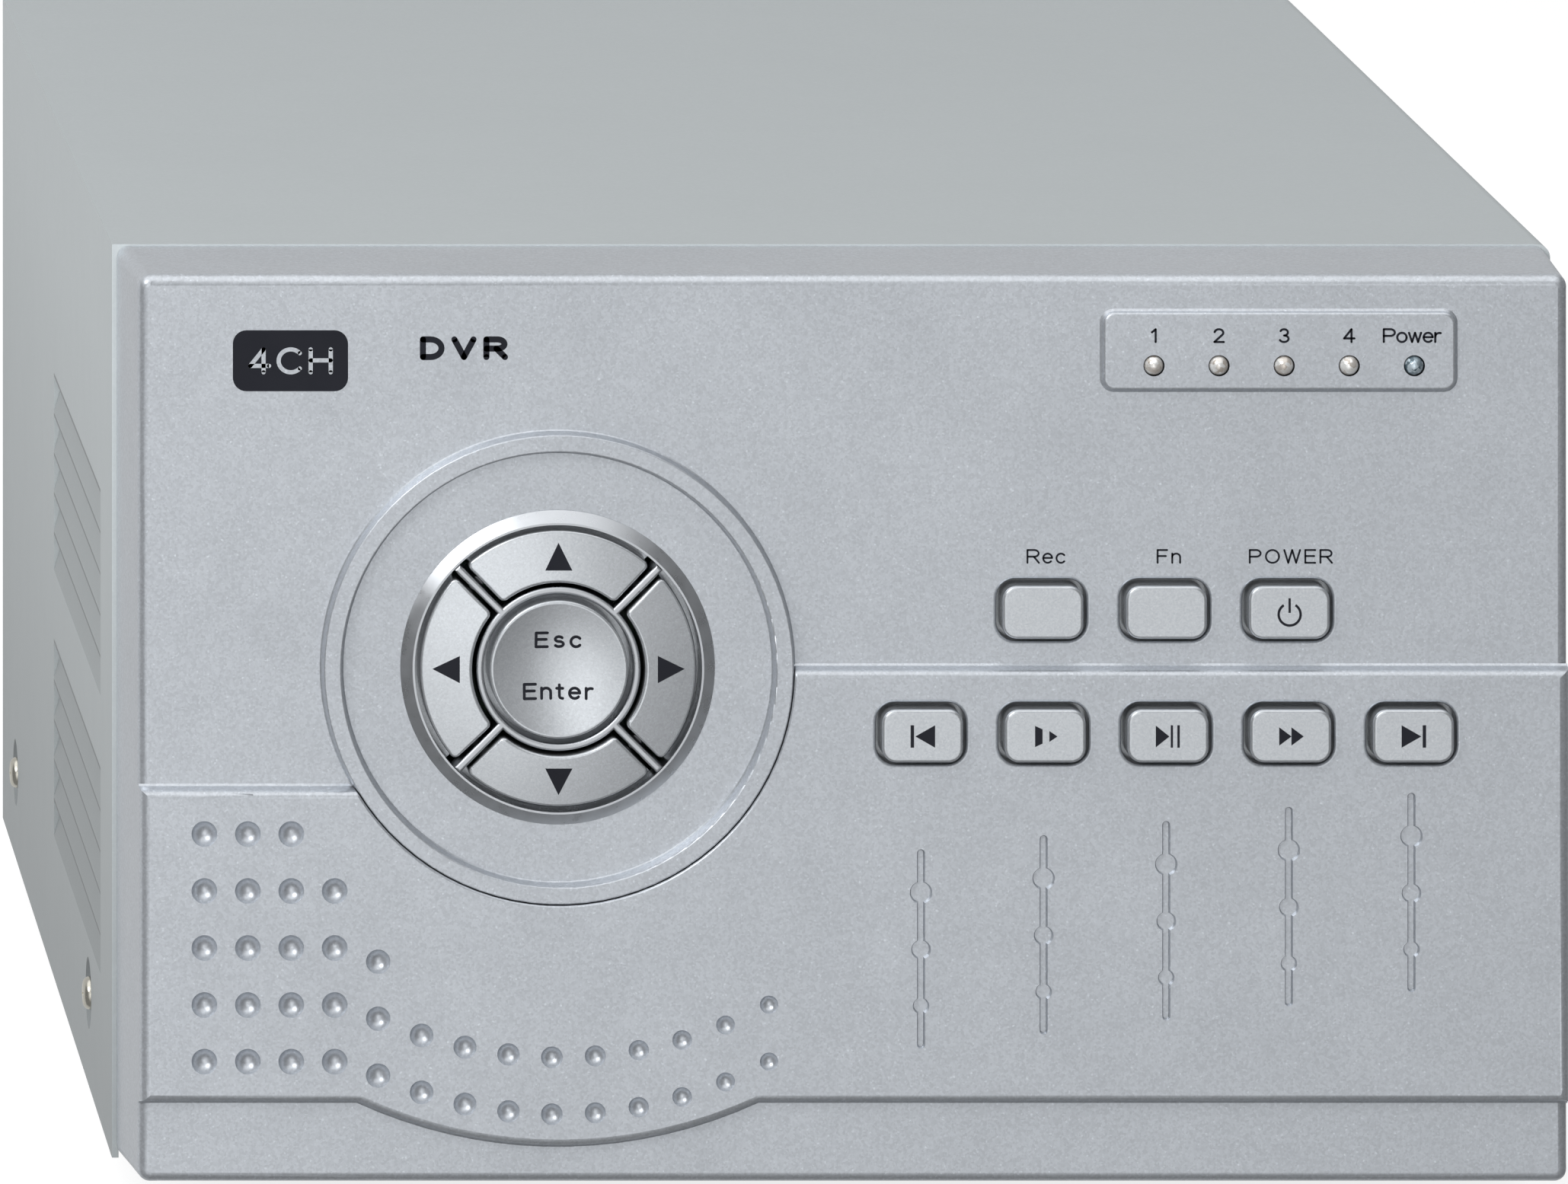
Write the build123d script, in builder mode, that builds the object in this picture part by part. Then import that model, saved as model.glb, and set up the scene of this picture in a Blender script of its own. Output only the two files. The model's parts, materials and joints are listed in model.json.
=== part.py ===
from build123d import *
from math import cos, radians, sin, sqrt
import os

# Compact security video recorder. Millimetres. +X is right as seen from the front, the front faces -Y,
# +Z is up. The origin is the centre of the overall footprint, at the plane the feet stand on.

# Case
FACE_WIDTH = 210.8
FACE_HEIGHT = 133.8
FACE_BOTTOM = 10.4
FOOT_HEIGHT = 8.0
CASE_DEPTH = 250.0
BEZEL_DEPTH = 24.0
BEZEL_SPREAD = 1.3
BEZEL_DROP = 2.1
BEZEL_WALL = 2.5
BEZEL_SIDE_WALL = 2.0
FACE_CORNER = 1.8
FACE_EDGE = 1.5
SHEET = 1.0
COVER_WIDTH = 214.8
COVER_TOP = 144.45
COVER_BEND = 2.0

# Raised lower plate of the bezel
PLATE_RISE = 2.4
PLATE_SLOPE = 0.5
PLATE_EDGE = 1.1
PLATE_ARC_EDGE = 0.3
PLATE_ROOT = 0.3
PLATE_ROOT_RISE = 0.25
PLATE_OVERRUN = 5.0
PLATE_LEFT_TOP = 58.5
PLATE_RIGHT_TOP = 76.25
PLATE_BOTTOM = 12.0
PLATE_BULGE_RADIUS = 70.5
PLATE_RELIEF = 2.0

# Navigation pad
PAD_X = -43.6
PAD_HEIGHT = 76.0
ENTER_RADIUS = 10.2
DIVIDER_INNER = 11.05
DIVIDER_OUTER = 12.15
DIVIDER_BAR = 1.2
ARROW_INNER = 12.75
ARROW_OUTER = 20.4
ARROW_HALF_GAP = 1.15
ARROW_CENTRE = 16.6
ARROW_CROWN = 150.0
TRIM_INNER = 21.2
TRIM_SLEEVE = 21.9
TRIM_OUTER = 23.2
TRIM_RISE = 1.2
PAD_HOLE = 22.0
RIDGE_INNER = 31.6
RIDGE_OUTER = 35.1
RIDGE_RUN = 0.5
RIDGE_RISE = 2.1
RIDGE_ROOT = 0.18
RIDGE_EDGE = 0.25
RIDGE_SEAT = 0.3
RIDGE_OVERLAP = 0.35

# Rectangular keys
KEY_WIDTH = 11.9
KEY_HEIGHT = 7.8
KEY_CORNER = 2.1
KEY_HOLE_WIDTH = 13.2
KEY_HOLE_HEIGHT = 9.1
KEY_HOLE_CORNER = 2.8
KEY_HOLE_RIM = 0.5
KEY_PROUD = 1.9
KEY_EDGE = 0.45
UPPER_ROW_HEIGHT = 84.4
LOWER_ROW_HEIGHT = 66.7
LOWER_ROW_X = 9.7
LOWER_ROW_PITCH = 18.07

# Lamps
LAMP_PLATE_X = 62.8
LAMP_PLATE_HEIGHT = 122.75
LAMP_PLATE_SIZE = (52.8, 12.3)
LAMP_PLATE_CORNER = 2.1
LAMP_PLATE_RISE = 1.0
LAMP_PLATE_SLOPE = 0.35
LAMP_PLATE_EDGE = 0.5
LAMP_X = 44.25
LAMP_PITCH = 9.6
LAMP_HEIGHT = 120.65
LAMP_RADIUS = 1.5
LAMP_PROUD = 0.8

# Key board behind the bezel
BOARD_THICK = 1.6
KEY_BOARD_DEPTH = 13.0
SWITCH_SIDE = 6.0
SWITCH_DEPTH = 3.5
PLUNGER_RADIUS = 1.7
PLUNGER_BORE = 1.78
PLUNGER_TIP = 8.0
PLUNGER_LENGTH = 3.2

# Connectors reach past the rear of the case
CONNECTOR_REACH = 13.0

# Stations along Y
FRONT_TIP = PLATE_RISE + KEY_PROUD
FRONT_Y = FRONT_TIP - (FRONT_TIP + CASE_DEPTH + CONNECTOR_REACH) / 2
BEZEL_BACK_Y = FRONT_Y + BEZEL_DEPTH
REAR_Y = FRONT_Y + CASE_DEPTH
PANEL_Y = REAR_Y - SHEET
PANEL_INNER_Y = PANEL_Y - SHEET
PLATE_Y = FRONT_Y - PLATE_RISE
KEY_BOARD_Y = FRONT_Y + KEY_BOARD_DEPTH
PLUNGER_TIP_Y = FRONT_Y + PLUNGER_TIP
INNER_WALL_Y = FRONT_Y + BEZEL_WALL
RELIEF_Y = INNER_WALL_Y - PLATE_RELIEF
SLEEVE_END_Y = FRONT_Y + 3.2

PAD_Z = FACE_BOTTOM + PAD_HEIGHT
FACE_TOP = FACE_BOTTOM + FACE_HEIGHT
CASE_BOTTOM = FOOT_HEIGHT
FLOOR_TOP = CASE_BOTTOM + SHEET

os.makedirs("parts", exist_ok=True)


def face_plane(y):
    """Upright plane at station y whose normal points to the front."""
    return Plane.XZ.offset(-y)


def save(part, name):
    """Labels a finished piece and writes it under its own name."""
    part.label = name
    export_step(part, f"parts/{name}.step")


# ------------------------------------------------------------------ front bezel


def bezel_section(y, inset):
    """Cross-section of the bezel's drafted outside at station y, shrunk by inset."""
    share = (y - FRONT_Y) / BEZEL_DEPTH
    width = FACE_WIDTH + 2 * BEZEL_SPREAD * share - 2 * inset
    bottom = FACE_BOTTOM - BEZEL_DROP * share + inset
    height = FACE_TOP - inset - bottom
    with BuildSketch(face_plane(y)) as section:
        with Locations((0, bottom + height / 2)):
            RectangleRounded(width, height, FACE_CORNER)
    return section.sketch


def plate_section(y, inset):
    """Outline of the raised plate at station y, shrunk by inset, running past the bezel's sides."""
    side = FACE_WIDTH / 2 + PLATE_OVERRUN
    ring = RIDGE_OUTER - RIDGE_OVERLAP + min(inset, 0)
    bulge = PLATE_BULGE_RADIUS - inset
    left_top = PLATE_LEFT_TOP - inset
    right_top = PLATE_RIGHT_TOP - inset
    low = PLATE_BOTTOM + inset
    ring_left = PAD_X - sqrt(ring**2 - (PAD_HEIGHT - left_top) ** 2)
    ring_right = PAD_X + sqrt(ring**2 - (PAD_HEIGHT - right_top) ** 2)
    bulge_half = sqrt(bulge**2 - (PAD_HEIGHT - low) ** 2)
    with BuildSketch(face_plane(y)) as section:
        with BuildLine():
            Line((-side, FACE_BOTTOM + left_top), (ring_left, FACE_BOTTOM + left_top))
            ThreePointArc(
                (ring_left, FACE_BOTTOM + left_top),
                (PAD_X, PAD_Z - ring),
                (ring_right, FACE_BOTTOM + right_top),
            )
            Line((ring_right, FACE_BOTTOM + right_top), (side, FACE_BOTTOM + right_top))
            Line((side, FACE_BOTTOM + right_top), (side, FACE_BOTTOM + low))
            Line((side, FACE_BOTTOM + low), (PAD_X + bulge_half, FACE_BOTTOM + low))
            ThreePointArc(
                (PAD_X + bulge_half, FACE_BOTTOM + low),
                (PAD_X, PAD_Z - bulge),
                (PAD_X - bulge_half, FACE_BOTTOM + low),
            )
            Line((PAD_X - bulge_half, FACE_BOTTOM + low), (-side, FACE_BOTTOM + low))
            Line((-side, FACE_BOTTOM + low), (-side, FACE_BOTTOM + left_top))
        make_face()
    return section.sketch


def lamp_plate_section(y, inset):
    """Rounded outline of the lamp plate at station y, shrunk by inset."""
    with BuildSketch(face_plane(y)) as section:
        with Locations((LAMP_PLATE_X, FACE_BOTTOM + LAMP_PLATE_HEIGHT)):
            RectangleRounded(
                LAMP_PLATE_SIZE[0] - 2 * inset, LAMP_PLATE_SIZE[1] - 2 * inset, LAMP_PLATE_CORNER - inset
            )
    return section.sketch


# Raised plate: a flared root, sloped and rounded step edges, trimmed to the bezel's own rounded sides.
with BuildPart() as plate_block:
    loft([bezel_section(PLATE_Y, 0), bezel_section(BEZEL_BACK_Y, 0)])
    fillet(plate_block.faces().sort_by(Axis.Y)[0].edges(), FACE_EDGE)

with BuildPart() as raised_plate:
    loft(
        [
            plate_section(FRONT_Y, -PLATE_ROOT),
            plate_section(FRONT_Y - PLATE_ROOT_RISE, 0),
            plate_section(PLATE_Y, PLATE_SLOPE),
        ],
        ruled=True,
    )
    plate_rims = raised_plate.faces().sort_by(Axis.Y)[0].edges()
    ring_rim = plate_rims.filter_by(GeomType.CIRCLE).sort_by(Axis.Z)[-1]
    fillet([edge for edge in plate_rims if edge != ring_rim], PLATE_EDGE)
    ring_rim = raised_plate.faces().sort_by(Axis.Y)[0].edges().filter_by(GeomType.CIRCLE).sort_by(Axis.Z)[-1]
    fillet(ring_rim, PLATE_ARC_EDGE)
    extrude(plate_section(FRONT_Y, 0), amount=-2 * FACE_EDGE)
    add(plate_block.part, mode=Mode.INTERSECT)

UPPER_KEYS = [("rec_key", 27.8), ("fn_key", 46.0), ("power_key", 64.1)]
LOWER_KEYS = ["previous_key", "slow_key", "play_pause_key", "fast_forward_key", "next_key"]
UPPER_KEY_SPOTS = [(x, FACE_BOTTOM + UPPER_ROW_HEIGHT) for name, x in UPPER_KEYS]
LOWER_KEY_SPOTS = [
    (LOWER_ROW_X + LOWER_ROW_PITCH * column, FACE_BOTTOM + LOWER_ROW_HEIGHT) for column in range(5)
]
LAMP_SPOTS = [(LAMP_X + LAMP_PITCH * lamp, FACE_BOTTOM + LAMP_HEIGHT) for lamp in range(5)]

# Decorative grooves: one under each lower key, a slot with three round pockets.
GROOVE_WIDTH = 1.2
GROOVE_LENGTH = 29.4
GROOVE_DEPTH = 0.6
GROOVE_TAPER = 20.0
GROOVE_TOP = 49.66
GROOVE_CLIMB = 2.08
GROOVE_POCKETS = [(6.4, 1.66), (14.8, 1.45), (23.1, 1.22)]

# Concave dimples: a block of rows at the left, then two rows that follow the plate's bulge.
DIMPLE_X = -95.9
DIMPLE_PITCH = 6.4
DIMPLE_ROWS = [18.35, 26.7, 35.1, 43.5, 51.9]
DIMPLE_ARC = 65.4
DIMPLE_ROW_STEP = 8.39
DIMPLE_WIDTH = 3.8
DIMPLE_DEPTH = 1.4


def dimple_spots():
    """Every dimple as (x, height above the face's lower edge, width)."""
    spots = []
    for column in range(14):
        x = DIMPLE_X + DIMPLE_PITCH * column
        if column < 4:
            rows = DIMPLE_ROWS if column < 3 else DIMPLE_ROWS[:4]
            width = DIMPLE_WIDTH
        else:
            lowest = PAD_HEIGHT - sqrt(DIMPLE_ARC**2 - (x - PAD_X) ** 2)
            rows = [lowest + DIMPLE_ROW_STEP * row for row in range(3 if column == 4 else 2)]
            width = DIMPLE_WIDTH - 0.2 - 0.1 * (column - 4)
        spots.extend((x, row, width) for row in rows)
    return spots


# Key-board bosses and bezel-fixing bosses: (x, height above the face's lower edge).
BOARD_BOSSES = [(-65.0, 50.0), (0.0, 53.0), (84.0, 53.0), (-65.0, 122.0), (2.0, 122.0), (84.0, 110.0)]
CASE_BOSSES = [(-97.0, 9.5), (97.0, 9.5), (-97.0, 125.0), (97.0, 125.0)]
BOSS_RADIUS = 3.0
CASE_BOSS_RADIUS = 4.0
PILOT_RADIUS = 1.25
BOARD_PILOT_DEPTH = 9.0
CASE_PILOT_DEPTH = 12.0
BOSS_REACH = 0.3

# Thinned areas behind the raised plate: (x, height, width, height of the pocket).
RELIEF_POCKETS = [(48.0, 43.5, 104.0, 58.0), (-52.0, 25.0, 98.0, 21.0)]
RELIEF_CORNER = 2.0
LAMP_PLATE_DRAFT = 0.1
LAMP_FIT = 0.06
NEAR = 0.01

pad_plane = Plane(origin=(PAD_X, FRONT_Y, PAD_Z), x_dir=(1, 0, 0), z_dir=(0, 0, 1))
pad_axis = Axis((PAD_X, FRONT_Y, PAD_Z), (0, 1, 0))

with BuildPart() as front_bezel:
    loft([bezel_section(FRONT_Y, 0), bezel_section(BEZEL_BACK_Y, 0)])
    fillet(front_bezel.faces().sort_by(Axis.Y)[0].edges(), FACE_EDGE)
    add(raised_plate.part)
    # Ridge ring around the navigation pad
    with BuildSketch(pad_plane):
        with BuildLine():
            Polyline(
                (RIDGE_INNER, RIDGE_SEAT),
                (RIDGE_INNER, 0),
                (RIDGE_INNER + RIDGE_ROOT, -RIDGE_ROOT),
                (RIDGE_INNER + RIDGE_RUN, -RIDGE_RISE),
                (RIDGE_OUTER - RIDGE_RUN, -RIDGE_RISE),
                (RIDGE_OUTER - RIDGE_ROOT, -RIDGE_ROOT),
                (RIDGE_OUTER, 0),
                (RIDGE_OUTER, RIDGE_SEAT),
                close=True,
            )
        ridge_face = make_face()
        fillet(ridge_face.vertices().sort_by(Axis.Y)[:2], RIDGE_EDGE)
    revolve(axis=pad_axis)
    # Lamp plate
    loft(
        [
            lamp_plate_section(FRONT_Y, 0),
            lamp_plate_section(FRONT_Y - LAMP_PLATE_SLOPE, LAMP_PLATE_SLOPE),
            lamp_plate_section(FRONT_Y - LAMP_PLATE_RISE, LAMP_PLATE_SLOPE + LAMP_PLATE_DRAFT),
        ],
        ruled=True,
    )
    lamp_face = front_bezel.faces().filter_by(Plane.XZ).sort_by(
        lambda face: abs(face.center().Y - (FRONT_Y - LAMP_PLATE_RISE))
    )[0]
    fillet(lamp_face.edges(), LAMP_PLATE_EDGE)
    # Hollow back, deeper behind the raised plate
    loft(
        [bezel_section(INNER_WALL_Y, BEZEL_SIDE_WALL), bezel_section(BEZEL_BACK_Y, BEZEL_SIDE_WALL)],
        mode=Mode.SUBTRACT,
    )
    with BuildSketch(face_plane(INNER_WALL_Y)):
        for x, height, pocket_width, pocket_height in RELIEF_POCKETS:
            with Locations((x, FACE_BOTTOM + height)):
                RectangleRounded(pocket_width, pocket_height, RELIEF_CORNER)
    extrude(amount=PLATE_RELIEF, mode=Mode.SUBTRACT)
    # Openings for the keys, the pad and the lamps
    with BuildSketch(face_plane(INNER_WALL_Y + BEZEL_WALL)):
        with Locations(*UPPER_KEY_SPOTS, *LOWER_KEY_SPOTS):
            RectangleRounded(KEY_HOLE_WIDTH, KEY_HOLE_HEIGHT, KEY_HOLE_CORNER)
        with Locations((PAD_X, PAD_Z)):
            Circle(PAD_HOLE)
        with Locations(*LAMP_SPOTS):
            Circle(LAMP_RADIUS + LAMP_FIT)
    extrude(amount=3 * BEZEL_WALL + PLATE_RISE, mode=Mode.SUBTRACT)
    rims = front_bezel.edges().filter_by(
        lambda edge: (
            min(abs(edge.center().Y - FRONT_Y), abs(edge.center().Y - PLATE_Y)) < NEAR
            and any(
                abs(edge.center().X - x) < KEY_HOLE_WIDTH / 2 + NEAR
                and abs(edge.center().Z - z) < KEY_HOLE_HEIGHT / 2 + NEAR
                for x, z in UPPER_KEY_SPOTS + LOWER_KEY_SPOTS
            )
        )
    )
    fillet(rims, KEY_HOLE_RIM)
    # Grooves and dimples in the raised plate
    with BuildSketch(face_plane(PLATE_Y)):
        for column in range(5):
            groove_x = LOWER_ROW_X + LOWER_ROW_PITCH * column
            groove_top = FACE_BOTTOM + GROOVE_TOP + GROOVE_CLIMB * column
            with Locations((groove_x, groove_top - GROOVE_LENGTH / 2)):
                SlotOverall(GROOVE_LENGTH, GROOVE_WIDTH, rotation=90)
            for drop, radius in GROOVE_POCKETS:
                with Locations((groove_x, groove_top - drop)):
                    Circle(radius)
    extrude(amount=-GROOVE_DEPTH, taper=GROOVE_TAPER, mode=Mode.SUBTRACT)
    for x, height, width in dimple_spots():
        depth = DIMPLE_DEPTH * width / DIMPLE_WIDTH
        ball = (width**2 / 4 + depth**2) / (2 * depth)
        with Locations((x, PLATE_Y - ball + depth, FACE_BOTTOM + height)):
            Sphere(ball, mode=Mode.SUBTRACT)
    # Bosses on the inside
    with BuildSketch(face_plane(KEY_BOARD_Y)):
        with Locations(*[(x, FACE_BOTTOM + height) for x, height in BOARD_BOSSES]):
            Circle(BOSS_RADIUS)
    extrude(amount=KEY_BOARD_DEPTH - BOSS_REACH)
    with BuildSketch(face_plane(BEZEL_BACK_Y)):
        with Locations(*[(x, FACE_BOTTOM + height) for x, height in CASE_BOSSES]):
            Circle(CASE_BOSS_RADIUS)
    extrude(amount=BEZEL_DEPTH - 2 * BOSS_REACH - BEZEL_WALL / 2)
    with BuildSketch(face_plane(KEY_BOARD_Y)):
        with Locations(*[(x, FACE_BOTTOM + height) for x, height in BOARD_BOSSES]):
            Circle(PILOT_RADIUS)
    extrude(amount=BOARD_PILOT_DEPTH, mode=Mode.SUBTRACT)
    with BuildSketch(face_plane(BEZEL_BACK_Y)):
        with Locations(*[(x, FACE_BOTTOM + height) for x, height in CASE_BOSSES]):
            Circle(PILOT_RADIUS)
    extrude(amount=CASE_PILOT_DEPTH, mode=Mode.SUBTRACT)
save(front_bezel.part, "front_bezel")


# ------------------------------------------------------------------ navigation pad trim

TRIM_LAND = 0.3
TRIM_FOOT = 0.15

with BuildPart() as navigation_ring:
    with BuildSketch(pad_plane):
        with BuildLine():
            Polyline(
                (TRIM_INNER, SLEEVE_END_Y - FRONT_Y),
                (TRIM_INNER, -TRIM_RISE),
                (TRIM_INNER + TRIM_LAND, -TRIM_RISE),
                (TRIM_OUTER, -TRIM_FOOT),
                (TRIM_OUTER, 0),
                (TRIM_SLEEVE, 0),
                (TRIM_SLEEVE, SLEEVE_END_Y - FRONT_Y),
                close=True,
            )
        make_face()
    revolve(axis=pad_axis)
save(navigation_ring.part, "navigation_ring")

DIVIDER_RISE = 1.4
DIVIDER_EDGE = 0.4
POST_RADIUS = 1.0
PEG_RADIUS = 0.8
PEG_FIT = 0.1
PEG_LENGTH = 1.6
PEG_END = 0.6
POST_OVERLAP = 0.1
BAR_ROOT = DIVIDER_OUTER - 0.5
BAR_TIP = TRIM_INNER - 0.05

with BuildPart() as navigation_divider:
    with BuildSketch(face_plane(SLEEVE_END_Y)):
        with Locations((PAD_X, PAD_Z)):
            Circle(DIVIDER_OUTER)
            with PolarLocations((BAR_ROOT + BAR_TIP) / 2, 4, start_angle=45):
                Rectangle(BAR_TIP - BAR_ROOT, DIVIDER_BAR)
            Circle(DIVIDER_INNER, mode=Mode.SUBTRACT)
    extrude(amount=SLEEVE_END_Y - FRONT_Y + DIVIDER_RISE)
    fillet(navigation_divider.faces().sort_by(Axis.Y)[0].edges(), DIVIDER_EDGE)
    with BuildSketch(face_plane(KEY_BOARD_Y)):
        with Locations((PAD_X, PAD_Z)):
            with PolarLocations(ARROW_CENTRE, 4, start_angle=45):
                Circle(POST_RADIUS)
    extrude(amount=KEY_BOARD_Y - SLEEVE_END_Y + POST_OVERLAP)
    with BuildSketch(face_plane(KEY_BOARD_Y + BOARD_THICK + PEG_END)):
        with Locations((PAD_X, PAD_Z)):
            with PolarLocations(ARROW_CENTRE, 4, start_angle=45):
                Circle(PEG_RADIUS)
    extrude(amount=BOARD_THICK + PEG_LENGTH)
save(navigation_divider.part, "navigation_divider")


# ------------------------------------------------------------------ keys and switches

FLANGE_THICK = 1.2
FLANGE_GAP = 0.1
STEM_WIDTH = 5.0
STEM_HEIGHT = 4.0
STEM_CORNER = 0.8
KEY_LIP = 1.45
KEY_LIP_CORNER = 1.5


def rectangular_key(x, z, level_y, wall_back_y):
    """Key cap with a retaining flange behind the wall and a stem down to its switch plunger."""
    flange_y = wall_back_y + FLANGE_GAP + FLANGE_THICK
    with BuildPart() as key:
        with BuildSketch(face_plane(flange_y - FLANGE_THICK / 2)):
            with Locations((x, z)):
                RectangleRounded(KEY_WIDTH, KEY_HEIGHT, KEY_CORNER)
        extrude(amount=flange_y - FLANGE_THICK / 2 - level_y + KEY_PROUD)
        fillet(key.faces().sort_by(Axis.Y)[0].edges(), KEY_EDGE)
        with BuildSketch(face_plane(flange_y)):
            with Locations((x, z)):
                RectangleRounded(KEY_WIDTH + 2 * KEY_LIP, KEY_HEIGHT + 2 * KEY_LIP, KEY_LIP_CORNER)
        extrude(amount=FLANGE_THICK)
        with BuildSketch(face_plane(PLUNGER_TIP_Y)):
            with Locations((x, z)):
                RectangleRounded(STEM_WIDTH, STEM_HEIGHT, STEM_CORNER)
        extrude(amount=PLUNGER_TIP_Y - flange_y + FLANGE_THICK / 2)
    return key.part


ARROW_CORNER = 0.9
ARROW_LIP_GAP = 0.3
ARROW_LIP_OUTER = 23.4

# How far the crown falls between the pad's axis and the inner ends of the arrow keys
ARROW_CROWN_DROP = ARROW_CROWN - sqrt(ARROW_CROWN**2 - ARROW_INNER**2)


def arrow_sector(y, half_gap, outer, angle):
    """Quarter of the pad's ring between two diagonals, kept half_gap away from each, turned by angle."""
    reach = 2 * outer
    apex = half_gap * sqrt(2)
    with BuildSketch(face_plane(y)) as sector:
        with Locations((PAD_X, PAD_Z)):
            Circle(outer)
            Circle(ARROW_INNER, mode=Mode.SUBTRACT)
        with Locations(Location((PAD_X, PAD_Z), angle)):
            Polygon((0, apex), (reach, apex + reach), (-reach, apex + reach), align=None, mode=Mode.INTERSECT)
        fillet(sector.vertices(), ARROW_CORNER)
    return sector.sketch


def arrow_key(angle):
    """Curved key: sector cap, wider lip behind the trim sleeve, and a stem to its plunger."""
    lip_y = SLEEVE_END_Y + FLANGE_GAP + FLANGE_THICK
    stem_x = PAD_X - ARROW_CENTRE * sin(radians(angle))
    stem_z = PAD_Z + ARROW_CENTRE * cos(radians(angle))
    with BuildPart() as key:
        extrude(
            arrow_sector(lip_y - FLANGE_THICK / 2, ARROW_HALF_GAP, ARROW_OUTER, angle),
            amount=lip_y - FLANGE_THICK / 2 - FRONT_Y + KEY_PROUD + ARROW_CROWN_DROP,
        )
        with Locations((PAD_X, FRONT_Y - KEY_PROUD - ARROW_CROWN_DROP + ARROW_CROWN, PAD_Z)):
            Sphere(ARROW_CROWN, mode=Mode.INTERSECT)
        fillet(key.faces().sort_by(Axis.Y)[0].edges(), KEY_EDGE)
        extrude(
            arrow_sector(lip_y, ARROW_HALF_GAP + ARROW_LIP_GAP, ARROW_LIP_OUTER, angle),
            amount=FLANGE_THICK,
        )
        with BuildSketch(face_plane(PLUNGER_TIP_Y)):
            with Locations(Location((stem_x, stem_z), angle)):
                RectangleRounded(STEM_WIDTH, STEM_HEIGHT, STEM_CORNER)
        extrude(amount=PLUNGER_TIP_Y - lip_y + FLANGE_THICK / 2)
    return key.part


ENTER_LIP_RADIUS = 11.9
ENTER_EDGE = 0.35
DISH_DEPTH = 1.1
DISH_RADIUS = 9.7

with BuildPart() as enter_key:
    with BuildSketch(pad_plane):
        with BuildLine():
            Polyline(
                (0, SLEEVE_END_Y - FRONT_Y + FLANGE_GAP + FLANGE_THICK),
                (0, -KEY_PROUD),
                (ENTER_RADIUS, -KEY_PROUD),
                (ENTER_RADIUS, SLEEVE_END_Y - FRONT_Y + FLANGE_GAP),
                (ENTER_LIP_RADIUS, SLEEVE_END_Y - FRONT_Y + FLANGE_GAP),
                (ENTER_LIP_RADIUS, SLEEVE_END_Y - FRONT_Y + FLANGE_GAP + FLANGE_THICK),
                close=True,
            )
        make_face()
    revolve(axis=pad_axis)
    dish_ball = (DISH_RADIUS**2 + DISH_DEPTH**2) / (2 * DISH_DEPTH)
    with Locations((PAD_X, FRONT_Y - KEY_PROUD - dish_ball + DISH_DEPTH, PAD_Z)):
        Sphere(dish_ball, mode=Mode.SUBTRACT)
    enter_rims = enter_key.edges().filter_by(GeomType.CIRCLE).filter_by(
        lambda edge: abs(edge.center().Y - FRONT_Y + KEY_PROUD) < NEAR
    )
    fillet(enter_rims.sort_by(SortBy.LENGTH)[-1], ENTER_EDGE)
    with BuildSketch(face_plane(PLUNGER_TIP_Y)):
        with Locations((PAD_X, PAD_Z)):
            Circle(STEM_WIDTH / 2)
    extrude(amount=PLUNGER_TIP_Y - SLEEVE_END_Y - FLANGE_THICK)
save(enter_key.part, "enter_key")

KEY_SPOTS = {"enter_key": (PAD_X, PAD_Z)}
for (name, x), (_, z) in zip(UPPER_KEYS, UPPER_KEY_SPOTS):
    save(rectangular_key(x, z, FRONT_Y, INNER_WALL_Y), name)
    KEY_SPOTS[name] = (x, z)
for name, (x, z) in zip(LOWER_KEYS, LOWER_KEY_SPOTS):
    save(rectangular_key(x, z, PLATE_Y, RELIEF_Y), name)
    KEY_SPOTS[name] = (x, z)
for name, angle in [("up_key", 0), ("left_key", 90), ("down_key", 180), ("right_key", 270)]:
    save(arrow_key(angle), name)
    KEY_SPOTS[name] = (
        PAD_X - ARROW_CENTRE * sin(radians(angle)),
        PAD_Z + ARROW_CENTRE * cos(radians(angle)),
    )

PLUNGER_EDGE = 0.2
SWITCH_FLOOR = 0.8
SWITCH_CORNER = 0.4

for name, (x, z) in KEY_SPOTS.items():
    with BuildPart() as plunger:
        with BuildSketch(face_plane(PLUNGER_TIP_Y + PLUNGER_LENGTH)):
            with Locations((x, z)):
                Circle(PLUNGER_RADIUS)
        extrude(amount=PLUNGER_LENGTH)
        fillet(plunger.faces().sort_by(Axis.Y)[0].edges(), PLUNGER_EDGE)
    save(plunger.part, name.replace("_key", "_plunger"))

with BuildPart() as switch_bodies:
    with BuildSketch(face_plane(KEY_BOARD_Y)):
        with Locations(*KEY_SPOTS.values()):
            RectangleRounded(SWITCH_SIDE, SWITCH_SIDE, SWITCH_CORNER)
    extrude(amount=SWITCH_DEPTH)
    with BuildSketch(face_plane(KEY_BOARD_Y - SWITCH_DEPTH)):
        with Locations(*KEY_SPOTS.values()):
            Circle(PLUNGER_BORE)
    extrude(amount=-(SWITCH_DEPTH - SWITCH_FLOOR), mode=Mode.SUBTRACT)
save(switch_bodies.part, "switch_bodies")

KEY_BOARD_CENTRE = (10.0, 87.0)
KEY_BOARD_SIZE = (158.0, 86.0)
BOARD_CORNER = 2.0
BOARD_SCREW_CLEARANCE = 1.6

with BuildPart() as key_board:
    with BuildSketch(face_plane(KEY_BOARD_Y + BOARD_THICK)):
        with Locations((KEY_BOARD_CENTRE[0], FACE_BOTTOM + KEY_BOARD_CENTRE[1])):
            RectangleRounded(*KEY_BOARD_SIZE, BOARD_CORNER)
        with Locations(*[(x, FACE_BOTTOM + height) for x, height in BOARD_BOSSES]):
            Circle(BOARD_SCREW_CLEARANCE, mode=Mode.SUBTRACT)
        with Locations((PAD_X, PAD_Z)):
            with PolarLocations(ARROW_CENTRE, 4, start_angle=45):
                Circle(PEG_RADIUS + PEG_FIT, mode=Mode.SUBTRACT)
    extrude(amount=BOARD_THICK)
save(key_board.part, "key_board")


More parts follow.
